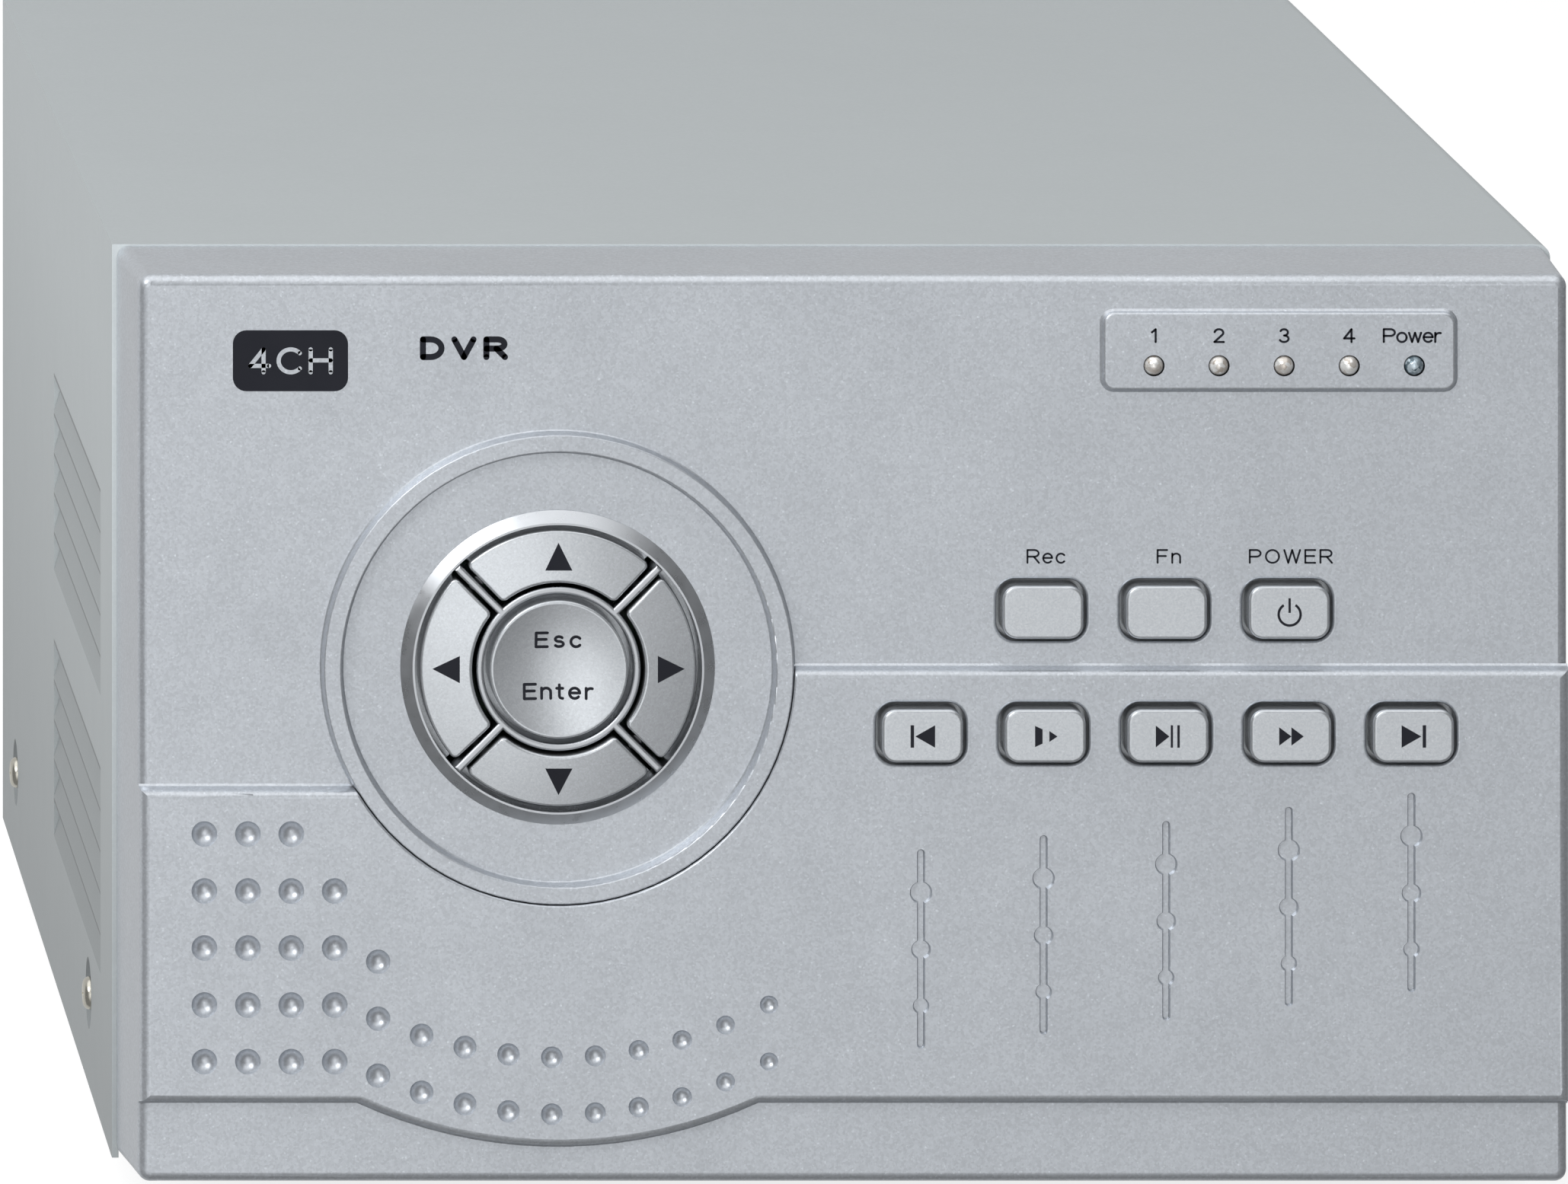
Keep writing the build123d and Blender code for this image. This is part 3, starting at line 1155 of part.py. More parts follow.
with BuildPart() as power_inlet:
    with BuildSketch(face_plane(REAR_Y + POWER_PROUD)):
        with Locations((POWER_X, BOARD_TOP + POWER_SIZE[1] / 2)):
            Rectangle(*POWER_SIZE)
            Circle(POWER_BORE, mode=Mode.SUBTRACT)
    extrude(amount=POWER_BARREL)
    with BuildSketch(face_plane(POWER_BACK_Y)):
        with Locations((POWER_X, BOARD_TOP + POWER_SIZE[1] / 2)):
            Rectangle(*POWER_SIZE)
    extrude(amount=POWER_BACK)
    with BuildSketch(face_plane(POWER_BACK_Y)):
        with Locations((POWER_X, BOARD_TOP + POWER_SIZE[1] / 2)):
            Circle(POWER_PIN)
    extrude(amount=-POWER_PIN_LENGTH)
save(power_inlet.part, "power_inlet")


# ------------------------------------------------------------------ fan

FAN_FRONT_Y = PANEL_INNER_Y - FAN_DEPTH
BEARING_BORE = 1.55
ROTOR_SHAFT = 1.5
BLADES = 7
FAN_CORNER = 3.5
SPIDER_THICK = 2.0
SPIDER_CENTRE = 20.7
SPIDER_ARM = (17.0, 3.0)
BEARING_RADIUS = 3.2
BEARING_LENGTH = 7.0
FAN_RIM = 0.5

with BuildPart() as fan_housing:
    with BuildSketch(face_plane(PANEL_INNER_Y)):
        with Locations((FAN_X, FAN_Z)):
            RectangleRounded(FAN_SIDE, FAN_SIDE, FAN_CORNER)
            Circle(FAN_DUCT, mode=Mode.SUBTRACT)
            with GridLocations(2 * FAN_SCREW, 2 * FAN_SCREW, 2, 2):
                Circle(SCREW_FIT, mode=Mode.SUBTRACT)
    extrude(amount=FAN_DEPTH)
    with BuildSketch(face_plane(PANEL_INNER_Y)):
        with Locations((FAN_X, FAN_Z)):
            Circle(FAN_HUB + FAN_RIM)
            with PolarLocations(SPIDER_CENTRE, 3, start_angle=30):
                Rectangle(*SPIDER_ARM)
    extrude(amount=SPIDER_THICK)
    with BuildSketch(face_plane(PANEL_INNER_Y - SPIDER_THICK)):
        with Locations((FAN_X, FAN_Z)):
            Circle(BEARING_RADIUS)
    extrude(amount=BEARING_LENGTH)
    with BuildSketch(face_plane(PANEL_INNER_Y - SPIDER_THICK - BEARING_LENGTH)):
        with Locations((FAN_X, FAN_Z)):
            Circle(BEARING_BORE)
    extrude(amount=-(BEARING_LENGTH + SPIDER_THICK / 2), mode=Mode.SUBTRACT)
save(fan_housing.part, "fan_housing")

BLADE_INNER = 11.8
BLADE_OUTER = 27.6
BLADE_DEPTH = 8.5
BLADE_TWIST = 34.0
BLADE_ROOT_HALF = 3.0
BLADE_TIP_HALF = 2.0
BLADE_Y = FAN_FRONT_Y + 2.0
HUB_WALL = 1.5
HUB_SKIRT = 11.0
HUB_EDGE = 0.8
HUB_BACK_Y = PANEL_INNER_Y - 3.0
SHAFT_END_Y = PANEL_INNER_Y - 2.6


def blade_section(y, turn):
    """Curved blade outline at station y, turned about the fan's axis."""
    with BuildSketch(face_plane(y)) as section:
        with Locations(Location((FAN_X, FAN_Z), turn)):
            Polygon(
                (BLADE_INNER * cos(radians(BLADE_ROOT_HALF)), -BLADE_INNER * sin(radians(BLADE_ROOT_HALF))),
                (BLADE_OUTER * cos(radians(BLADE_TIP_HALF)), -BLADE_OUTER * sin(radians(BLADE_TIP_HALF))),
                (BLADE_OUTER * cos(radians(BLADE_TIP_HALF)), BLADE_OUTER * sin(radians(BLADE_TIP_HALF))),
                (BLADE_INNER * cos(radians(BLADE_ROOT_HALF)), BLADE_INNER * sin(radians(BLADE_ROOT_HALF))),
                align=None,
            )
    return section.sketch


with BuildPart() as fan_rotor:
    with BuildSketch(face_plane(HUB_BACK_Y)):
        with Locations((FAN_X, FAN_Z)):
            Circle(FAN_HUB)
            Circle(FAN_HUB - HUB_WALL, mode=Mode.SUBTRACT)
    extrude(amount=HUB_SKIRT)
    with BuildSketch(face_plane(HUB_BACK_Y - HUB_SKIRT + HUB_WALL)):
        with Locations((FAN_X, FAN_Z)):
            Circle(FAN_HUB)
    extrude(amount=HUB_WALL)
    fillet(fan_rotor.faces().sort_by(Axis.Y)[0].edges(), HUB_EDGE)
    with BuildSketch(face_plane(SHAFT_END_Y)):
        with Locations((FAN_X, FAN_Z)):
            Circle(ROTOR_SHAFT)
    extrude(amount=SHAFT_END_Y - BLADE_Y)
    for blade in range(BLADES):
        turn = 360 / BLADES * blade
        loft(
            [
                blade_section(BLADE_Y, turn),
                blade_section(BLADE_Y + BLADE_DEPTH / 2, turn + BLADE_TWIST / 2),
                blade_section(BLADE_Y + BLADE_DEPTH, turn + BLADE_TWIST),
            ]
        )
save(fan_rotor.part, "fan_rotor")


# ------------------------------------------------------------------ hard disk on its bridge

BRIDGE_WINDOW_X = 68.0
BRIDGE_WINDOW = (110.0, 16.0)
DRIVE_SCREW_Y = -10.0
DRIVE_SCREW_GRID = (88.0, 100.0)

with BuildPart() as drive_bracket:
    with BuildSketch(face_plane(BRIDGE_SPAN[1])):
        with Locations((0, BRIDGE_TOP - SHEET / 2)):
            Rectangle(2 * BRIDGE_HALF, SHEET)
        for side in (-1, 1):
            with Locations((side * (BRIDGE_HALF - SHEET / 2), (FLOOR_TOP + BRIDGE_TOP) / 2)):
                Rectangle(SHEET, BRIDGE_TOP - FLOOR_TOP)
            with Locations((side * (BRIDGE_HALF + BRIDGE_FOOT / 2), FLOOR_TOP + SHEET / 2)):
                Rectangle(BRIDGE_FOOT + SHEET, SHEET)
    extrude(amount=BRIDGE_SPAN[1] - BRIDGE_SPAN[0])
    with BuildSketch(Plane.XY.offset(FLOOR_TOP)):
        with Locations(*BRIDGE_SCREWS):
            Circle(SCREW_CLEARANCE)
    extrude(amount=SHEET, mode=Mode.SUBTRACT)
    with BuildSketch(Plane.XY.offset(BRIDGE_TOP)):
        for x in (-BRIDGE_WINDOW_X, BRIDGE_WINDOW_X):
            with Locations((x, DRIVE_SCREW_Y)):
                SlotOverall(*BRIDGE_WINDOW, rotation=90)
        with Locations((0, DRIVE_SCREW_Y)):
            with GridLocations(*DRIVE_SCREW_GRID, 2, 2):
                Circle(SCREW_CLEARANCE)
    extrude(amount=-SHEET, mode=Mode.SUBTRACT)
save(drive_bracket.part, "drive_bracket")

DRIVE_WIDTH = 101.6
DRIVE_LENGTH = 146.0
DRIVE_HEIGHT = 26.1
DRIVE_Y = -8.0
DRIVE_WALL = 2.2
DRIVE_FLOOR = 8.0
LID_THICK = 1.0
SPINDLE_Y = DRIVE_Y - 20.0
SPINDLE_RADIUS = 6.0
DISK_RADIUS = 47.5
PIVOT_SPOT = (28.0, 33.0)
PIVOT_RADIUS = 3.0
RUNNING_GAP = 0.05
DRIVE_FLOOR_TOP = BRIDGE_TOP + DRIVE_FLOOR
DRIVE_LID_Z = BRIDGE_TOP + DRIVE_HEIGHT - LID_THICK
DRIVE_CORNER = 2.0
DRIVE_POCKET_CORNER = 6.0
SPINDLE_HEIGHT = 11.0
PIVOT_HEIGHT = 14.0
DRIVE_SCREW_DEPTH = 4.0
LID_MARGIN = 0.5
LID_GROOVE = 0.4
LID_RING = (DISK_RADIUS - 2.0, DISK_RADIUS - 5.0)
LID_SPOT = 12.0
HUB_RADIUS = 12.5
HUB_HEIGHT = 10.5
HUB_LIFT = 0.5
DISK_HEIGHTS = [2.5, 8.5]
DISK_THICK = 1.27
TALL = 20.0

with BuildPart() as drive_case:
    with BuildSketch(Plane.XY.offset(BRIDGE_TOP)):
        with Locations((0, DRIVE_Y)):
            RectangleRounded(DRIVE_WIDTH, DRIVE_LENGTH, DRIVE_CORNER)
    extrude(amount=DRIVE_HEIGHT - LID_THICK)
    with BuildSketch(Plane.XY.offset(DRIVE_LID_Z)):
        with Locations((0, DRIVE_Y)):
            RectangleRounded(
                DRIVE_WIDTH - 2 * DRIVE_WALL, DRIVE_LENGTH - 2 * DRIVE_WALL, DRIVE_POCKET_CORNER
            )
    extrude(amount=-(DRIVE_LID_Z - DRIVE_FLOOR_TOP), mode=Mode.SUBTRACT)
    with BuildSketch(Plane.XY.offset(DRIVE_FLOOR_TOP)):
        with Locations((0, SPINDLE_Y)):
            Circle(SPINDLE_RADIUS)
    extrude(amount=SPINDLE_HEIGHT)
    with BuildSketch(Plane.XY.offset(DRIVE_FLOOR_TOP)):
        with Locations(PIVOT_SPOT):
            Circle(PIVOT_RADIUS)
    extrude(amount=PIVOT_HEIGHT)
    with BuildSketch(Plane.XY.offset(BRIDGE_TOP)):
        with Locations((0, DRIVE_SCREW_Y)):
            with GridLocations(*DRIVE_SCREW_GRID, 2, 2):
                Circle(SCREW_FIT)
    extrude(amount=DRIVE_SCREW_DEPTH, mode=Mode.SUBTRACT)
save(drive_case.part, "drive_case")

with BuildPart() as drive_lid:
    with BuildSketch(Plane.XY.offset(DRIVE_LID_Z)):
        with Locations((0, DRIVE_Y)):
            RectangleRounded(DRIVE_WIDTH - 2 * LID_MARGIN, DRIVE_LENGTH - 2 * LID_MARGIN, DRIVE_CORNER)
    extrude(amount=LID_THICK)
    with BuildSketch(Plane.XY.offset(DRIVE_LID_Z + LID_THICK)):
        with Locations((0, SPINDLE_Y)):
            Circle(LID_RING[0])
            Circle(LID_RING[1], mode=Mode.SUBTRACT)
            Circle(LID_SPOT)
    extrude(amount=-LID_GROOVE, mode=Mode.SUBTRACT)
save(drive_lid.part, "drive_lid")

with BuildPart() as drive_platters:
    with BuildSketch(Plane.XY.offset(DRIVE_FLOOR_TOP + HUB_LIFT)):
        with Locations((0, SPINDLE_Y)):
            Circle(HUB_RADIUS)
    extrude(amount=HUB_HEIGHT)
    for height in DISK_HEIGHTS:
        with BuildSketch(Plane.XY.offset(DRIVE_FLOOR_TOP + height)):
            with Locations((0, SPINDLE_Y)):
                Circle(DISK_RADIUS)
        extrude(amount=DISK_THICK)
    with BuildSketch(Plane.XY.offset(DRIVE_FLOOR_TOP)):
        with Locations((0, SPINDLE_Y)):
            Circle(SPINDLE_RADIUS + RUNNING_GAP)
    extrude(amount=TALL, mode=Mode.SUBTRACT)
save(drive_platters.part, "drive_platters")

ARM_LENGTH = 46.0
ARM_REST_ANGLE = 262.0
ARM_HUB = 7.0
ARM_HUB_HEIGHT = 13.0
ARM_HEIGHTS = [5.4, 11.3]
ARM_THICK = 1.0
ARM_ROOT_HALF = 5.0
ARM_TIP_HALF = 1.6
COIL_LIFT = 5.0
COIL_THICK = 3.0
COIL_START = 4.0
COIL_END = 18.0
COIL_HALF = 9.0

with BuildPart() as drive_arm:
    with BuildSketch(Plane.XY.offset(DRIVE_FLOOR_TOP + HUB_LIFT)):
        with Locations(PIVOT_SPOT):
            Circle(ARM_HUB)
    extrude(amount=ARM_HUB_HEIGHT)
    for height in ARM_HEIGHTS:
        with BuildSketch(Plane.XY.offset(DRIVE_FLOOR_TOP + height)):
            with Locations(Location(PIVOT_SPOT, ARM_REST_ANGLE)):
                Polygon(
                    (0, -ARM_ROOT_HALF),
                    (ARM_LENGTH, -ARM_TIP_HALF),
                    (ARM_LENGTH, ARM_TIP_HALF),
                    (0, ARM_ROOT_HALF),
                    align=None,
                )
        extrude(amount=ARM_THICK)
    with BuildSketch(Plane.XY.offset(DRIVE_FLOOR_TOP + COIL_LIFT)):
        with Locations(Location(PIVOT_SPOT, ARM_REST_ANGLE + 180)):
            Polygon(
                (COIL_START, -ARM_ROOT_HALF),
                (COIL_END, -COIL_HALF),
                (COIL_END, COIL_HALF),
                (COIL_START, ARM_ROOT_HALF),
                align=None,
            )
    extrude(amount=COIL_THICK)
    with BuildSketch(Plane.XY.offset(DRIVE_FLOOR_TOP)):
        with Locations(PIVOT_SPOT):
            Circle(PIVOT_RADIUS + RUNNING_GAP)
    extrude(amount=TALL, mode=Mode.SUBTRACT)
save(drive_arm.part, "drive_arm")


# ------------------------------------------------------------------ cables

CABLE_THICK = 0.9
DRIVE_CABLE_X = (8.0, 30.0)
FRONT_CABLE_X = (-24.0, -6.0)
DRIVE_BACK_Y = DRIVE_Y + DRIVE_LENGTH / 2
BOARD_FRONT_Y = BOARD_REAR_Y - BOARD_DEPTH
KEY_BOARD_BACK_Y = KEY_BOARD_Y + BOARD_THICK
BOARD_PLUG = (5.0, 9.0)
DRIVE_PLUG = (6.0, 5.0)
PANEL_PLUG = (8.0, 6.0)
CABLE_ENTRY = 8.0
DRIVE_CABLE_Y = 80.0
DRIVE_PLUG_Z = 70.0
PANEL_PLUG_Z = 84.0
FRONT_CABLE_Y = BOARD_FRONT_Y + 10.0

with BuildPart() as drive_cable:
    with BuildSketch(Plane.YZ.offset(DRIVE_CABLE_X[0])):
        with BuildLine():
            Polyline(
                (DRIVE_CABLE_Y, BOARD_TOP + CABLE_ENTRY),
                (DRIVE_CABLE_Y, 50.0),
                (DRIVE_CABLE_Y + 4.0, 58.0),
                (DRIVE_CABLE_Y + 4.0, 66.0),
                (DRIVE_CABLE_Y - 2.0, DRIVE_PLUG_Z),
                (DRIVE_CABLE_Y - 10.0, DRIVE_PLUG_Z),
            )
        trace(line_width=CABLE_THICK)
        with Locations((DRIVE_CABLE_Y, BOARD_TOP + BOARD_PLUG[1] / 2)):
            Rectangle(*BOARD_PLUG)
        with Locations((DRIVE_BACK_Y + DRIVE_PLUG[0] / 2, DRIVE_PLUG_Z)):
            Rectangle(*DRIVE_PLUG)
    extrude(amount=DRIVE_CABLE_X[1] - DRIVE_CABLE_X[0])
save(drive_cable.part, "drive_cable")

with BuildPart() as front_cable:
    with BuildSketch(Plane.YZ.offset(FRONT_CABLE_X[0])):
        with BuildLine():
            Polyline(
                (KEY_BOARD_BACK_Y + 6.0, PANEL_PLUG_Z),
                (-98.0, 82.0),
                (-94.0, 74.0),
                (-94.0, 24.0),
                (-88.0, 14.0),
                (-10.0, 12.5),
                (-3.0, 16.0),
                (1.0, 32.0),
                (10.0, 34.0),
                (FRONT_CABLE_Y, BOARD_TOP + CABLE_ENTRY),
            )
        trace(line_width=CABLE_THICK)
        with Locations((KEY_BOARD_BACK_Y + PANEL_PLUG[0] / 2, PANEL_PLUG_Z)):
            Rectangle(*PANEL_PLUG)
        with Locations((FRONT_CABLE_Y, BOARD_TOP + BOARD_PLUG[1] / 2)):
            Rectangle(*BOARD_PLUG)
    extrude(amount=FRONT_CABLE_X[1] - FRONT_CABLE_X[0])
save(front_cable.part, "front_cable")

with BuildPart() as inner_screws:
    for x, height in BOARD_BOSSES:
        z = FACE_BOTTOM + height
        with Locations(Plane(origin=(x, KEY_BOARD_BACK_Y, z), x_dir=(-1, 0, 0), z_dir=(0, 1, 0))):
            add(board_screw)
    for x, height in CASE_BOSSES:
        z = FACE_BOTTOM + height
        with Locations(Plane(origin=(x, FRAME_Y + SHEET, z), x_dir=(-1, 0, 0), z_dir=(0, 1, 0))):
            add(frame_screw)
    with Locations(*[(x, y, BOARD_TOP) for x, y in STANDOFF_SPOTS]):
        add(board_screw)
    with Locations(*[(x, y, FLOOR_TOP + SHEET) for x, y in BRIDGE_SCREWS]):
        add(drive_screw)
    for x in (-DRIVE_SCREW_GRID[0] / 2, DRIVE_SCREW_GRID[0] / 2):
        for y in (DRIVE_SCREW_Y - DRIVE_SCREW_GRID[1] / 2, DRIVE_SCREW_Y + DRIVE_SCREW_GRID[1] / 2):
            with Locations(Plane(origin=(x, y, BRIDGE_TOP - SHEET), x_dir=(1, 0, 0), z_dir=(0, 0, -1))):
                add(drive_screw)
save(inner_screws.part, "inner_screws")
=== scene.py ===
import json
import math

import bmesh
import bpy
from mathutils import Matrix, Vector


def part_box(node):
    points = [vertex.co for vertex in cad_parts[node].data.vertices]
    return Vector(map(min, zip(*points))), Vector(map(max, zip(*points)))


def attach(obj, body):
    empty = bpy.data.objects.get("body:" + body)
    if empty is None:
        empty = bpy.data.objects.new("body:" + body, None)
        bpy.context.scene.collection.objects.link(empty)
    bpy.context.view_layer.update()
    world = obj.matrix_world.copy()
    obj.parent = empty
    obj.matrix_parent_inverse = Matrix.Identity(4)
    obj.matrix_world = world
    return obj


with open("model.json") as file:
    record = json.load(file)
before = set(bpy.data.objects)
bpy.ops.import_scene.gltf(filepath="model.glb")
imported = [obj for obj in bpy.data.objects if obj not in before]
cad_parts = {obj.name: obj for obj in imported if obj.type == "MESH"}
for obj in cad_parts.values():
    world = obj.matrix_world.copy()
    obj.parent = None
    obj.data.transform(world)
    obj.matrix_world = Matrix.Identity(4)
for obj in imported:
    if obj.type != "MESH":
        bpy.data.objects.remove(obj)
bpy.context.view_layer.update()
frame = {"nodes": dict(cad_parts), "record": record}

MM = 0.001
scene = bpy.context.scene


# ------------------------------------------------------------------ places read from the frame


def centre(node):
    low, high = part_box(node)
    return (low + high) / 2


def key_front(key):
    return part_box(key)[0].y


bezel_low, bezel_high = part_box("front_bezel")
PLATE_RISE = 2.4 * MM
LAMP_PLATE_RISE = 1.0 * MM
FACE_HEIGHT = 133.8 * MM
FACE_Y = bezel_low.y + PLATE_RISE
LAMP_PLATE_Y = FACE_Y - LAMP_PLATE_RISE
FACE_BOTTOM = bezel_high.z - FACE_HEIGHT

# Two banks of louvres on each side of the cover
LOUVRE_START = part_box("top_cover")[0].y + 21.6 * MM
LOUVRE_LENGTH = 92.4 * MM
LOUVRE_END = LOUVRE_START + LOUVRE_LENGTH
LOUVRE_PITCH = 6.25 * MM
LOUVRE_TOPS = [FACE_BOTTOM + 92.6 * MM, FACE_BOTTOM + 50.6 * MM]
LOUVRE_BANKS_SPLIT = FACE_BOTTOM + 58.0 * MM
BEND_START = 138.0 * MM


# ------------------------------------------------------------------ materials

# Painted shade: colour and coat darkened inside narrow gaps, such as those round the keys
GAP_REACH = 1.3 * MM
GAP_CLOSED = 0.12
GAP_OPEN = 0.54
GAP_SHADE = 0.12
GAP_SAMPLES = 8

# The middle part of a noise, where most of its values lie
NOISE_LOW = 0.3
NOISE_HIGH = 0.7


class Shader:
    """A node material with short helpers for procedural texture chains."""

    def __init__(self, name):
        self.material = bpy.data.materials.new(name)
        self.material.use_nodes = True
        self.tree = self.material.node_tree
        self.bsdf = self.tree.nodes["Principled BSDF"]
        self.coords = self.tree.nodes.new("ShaderNodeTexCoord").outputs["Object"]

    def node(self, kind, **settings):
        made = self.tree.nodes.new(kind)
        for key, value in settings.items():
            setattr(made, key, value)
        return made

    def link(self, source, target):
        self.tree.links.new(source, target)

    def stretched(self, scale):
        """Object coordinates multiplied by a 3-vector, for streaks."""
        mapping = self.node("ShaderNodeMapping")
        mapping.inputs["Scale"].default_value = scale
        self.link(self.coords, mapping.inputs["Vector"])
        return mapping.outputs["Vector"]

    def noise(self, scale, detail=2.0, roughness=0.5, vector=None):
        made = self.node("ShaderNodeTexNoise")
        made.inputs["Scale"].default_value = scale
        made.inputs["Detail"].default_value = detail
        made.inputs["Roughness"].default_value = roughness
        self.link(vector or self.coords, made.inputs["Vector"])
        return made.outputs["Fac"]

    def cells(self, scale):
        """One random grey value for each small cell, for flakes."""
        made = self.node("ShaderNodeTexVoronoi")
        made.inputs["Scale"].default_value = scale
        self.link(self.coords, made.inputs["Vector"])
        split = self.node("ShaderNodeSeparateColor")
        self.link(made.outputs["Color"], split.inputs["Color"])
        return split.outputs["Red"]

    def ranged(self, source, low, high, in_low=0.0, in_high=1.0):
        made = self.node("ShaderNodeMapRange")
        made.inputs["From Min"].default_value = in_low
        made.inputs["From Max"].default_value = in_high
        made.inputs["To Min"].default_value = low
        made.inputs["To Max"].default_value = high
        self.link(source, made.inputs["Value"])
        return made.outputs["Result"]

    def uneven(self, source, middle, spread):
        """A noise turned into small changes round a middle value."""
        return self.ranged(source, middle - spread, middle + spread, NOISE_LOW, NOISE_HIGH)

    def math(self, operation, a, b=0.0):
        made = self.node("ShaderNodeMath", operation=operation)
        for index, value in enumerate((a, b)):
            if isinstance(value, (int, float)):
                made.inputs[index].default_value = value
            else:
                self.link(value, made.inputs[index])
        return made.outputs["Value"]

    def split(self, vector):
        """X, Y and Z of a vector socket."""
        made = self.node("ShaderNodeSeparateXYZ")
        self.link(vector, made.inputs[0])
        return made.outputs

    def product(self, first, *others):
        """Several grey sockets multiplied; with masks, one where all of them are one."""
        for other in others:
            first = self.math("MULTIPLY", first, other)
        return first

    def tinted(self, colour, brightness):
        """A colour multiplied by a grey socket."""
        made = self.node("ShaderNodeVectorMath", operation="SCALE")
        made.inputs[0].default_value = colour
        self.link(brightness, made.inputs["Scale"])
        return made.outputs["Vector"]

    def bump(self, height, strength, distance, under=None):
        made = self.node("ShaderNodeBump")
        made.inputs["Strength"].default_value = strength
        made.inputs["Distance"].default_value = distance
        self.link(height, made.inputs["Height"])
        if under is not None:
            self.link(under, made.inputs["Normal"])
        self.link(made.outputs["Normal"], self.bsdf.inputs["Normal"])
        return made.outputs["Normal"]

    def painted_gap_shade(self):
        """Painted shade: one in the open and in shallow grooves, falling to a dark painted shade inside
        narrow deep gaps.
        """
        made = self.node("ShaderNodeAmbientOcclusion", samples=GAP_SAMPLES)
        made.inputs["Distance"].default_value = GAP_REACH
        return self.ranged(made.outputs["AO"], GAP_SHADE, 1.0, GAP_CLOSED, GAP_OPEN)

    def set(self, **values):
        for key, value in values.items():
            socket = self.bsdf.inputs[key.replace("_", " ")]
            if hasattr(value, "is_output"):
                self.link(value, socket)
            else:
                socket.default_value = value


# Painted light and shade on parts of the cover, as shares of the rest of its colour
SIDE_LOW_SHADE = 0.66
SIDE_LOW = 15.0 * MM
SIDE_HIGH = 125.0 * MM
LOUVRE_SHADE = 0.76
# Painted shadow line above each louvre; the sheet has no opening there
SLIT_SHADE = 0.42
SLIT_WIDTH = 0.5 * MM
# Painted light on the louvre pockets' end walls
POCKET_END_LIGHT = 1.35
# Painted light on the cover's front edge
FRONT_EDGE_LIGHT = 1.5
FLAT_SIDE = 0.985
STEEP = 0.5
FACING_FRONT = -0.9


def cover_shading(shader):
    """Painted shade low on the cover's sides and on its louvres' slanted faces, a painted shadow line above
    each louvre, and painted light on the louvre pockets' end walls and the cover's front edge.
    """
    place = shader.split(shader.coords)
    facing = shader.split(shader.node("ShaderNodeNewGeometry").outputs["True Normal"])

    def above(value, limit):
        return shader.math("GREATER_THAN", value, limit)

    def below(value, limit):
        return shader.math("LESS_THAN", value, limit)

    height = place["Z"]
    # painted shade: darker towards the bottom of the cover
    fall = shader.ranged(height, SIDE_LOW_SHADE, 1.0, SIDE_LOW, SIDE_HIGH)
    sideways = shader.math("ABSOLUTE", facing["X"])
    # mask for the louvres' slanted faces, which get painted shade
    slanted = shader.product(below(sideways, FLAT_SIDE), above(sideways, STEEP), below(height, BEND_START))

    bank_top = shader.ranged(above(height, LOUVRE_BANKS_SPLIT), LOUVRE_TOPS[1], LOUVRE_TOPS[0])
    lowest = shader.math("SUBTRACT", bank_top, 4.5 * LOUVRE_PITCH)
    above_top = shader.math("SUBTRACT", height, bank_top)
    phase = shader.math("FRACT", shader.math("DIVIDE", above_top, LOUVRE_PITCH))
    # painted shadow line just above each louvre top, on the flat sheet, standing in for an opening
    painted_slit_shadow = shader.product(
        below(phase, SLIT_WIDTH / LOUVRE_PITCH),
        above(sideways, FLAT_SIDE),
        below(above_top, LOUVRE_PITCH / 2),
        above(height, lowest),
        above(place["Y"], LOUVRE_START),
        below(place["Y"], LOUVRE_END),
    )
    facing_front = below(facing["Y"], FACING_FRONT)
    # painted light on the front-facing end walls of the louvre pockets
    pocket_end = shader.product(
        facing_front,
        above(place["Y"], LOUVRE_END - LOUVRE_LENGTH / 2),
        below(place["Y"], LOUVRE_END + LOUVRE_LENGTH / 2),
    )
    # painted light on the cover's front-facing edge
    front_edge = shader.product(facing_front, below(place["Y"], LOUVRE_START / 2))
    return shader.product(
        fall,
        shader.ranged(slanted, 1.0, LOUVRE_SHADE),
        shader.ranged(painted_slit_shadow, 1.0, SLIT_SHADE),
        shader.ranged(pocket_end, 1.0, POCKET_END_LIGHT),
        shader.ranged(front_edge, 1.0, FRONT_EDGE_LIGHT),
    )


def lacquer(
    name, colour, flake_scale, flake_low, metallic, roughness, coat, peel, sparkle, uneven, shade=None
):
    """Silver lacquer with metal flake, faint mottling, sparse bright flakes and orange peel; painted shade
    darkens its colour and coat in narrow gaps, and an optional shade function adds more painted light and
    shade.
    """
    shader = Shader(name)
    flakes = shader.ranged(shader.cells(flake_scale), flake_low, 2 - flake_low)
    mottle = shader.uneven(shader.noise(38.0, 3.0), 1, uneven)
    glints = shader.ranged(shader.cells(flake_scale * 1.3), 1.0, 1.0 + sparkle, 0.975, 1.0)
    # painted shade in narrow gaps, for both the colour and the coat
    painted_shade_in_gaps = shader.painted_gap_shade()
    brightness = shader.product(flakes, mottle, glints, painted_shade_in_gaps)
    # more painted light and shade, where a shade function is given
    if shade is not None:
        brightness = shader.product(brightness, shade(shader))
    shader.set(
        Base_Color=shader.tinted(colour, brightness),
        Metallic=metallic,
        Roughness=shader.uneven(shader.noise(120.0, 3.0), roughness, uneven),
        Coat_Weight=shader.product(painted_shade_in_gaps, coat),
        Coat_Roughness=0.12,
    )
    grain = shader.bump(shader.cells(flake_scale * 0.8), 0.12, 0.02 * MM)
    shader.bump(shader.noise(650.0), peel, 0.06 * MM, grain)
    return shader.material


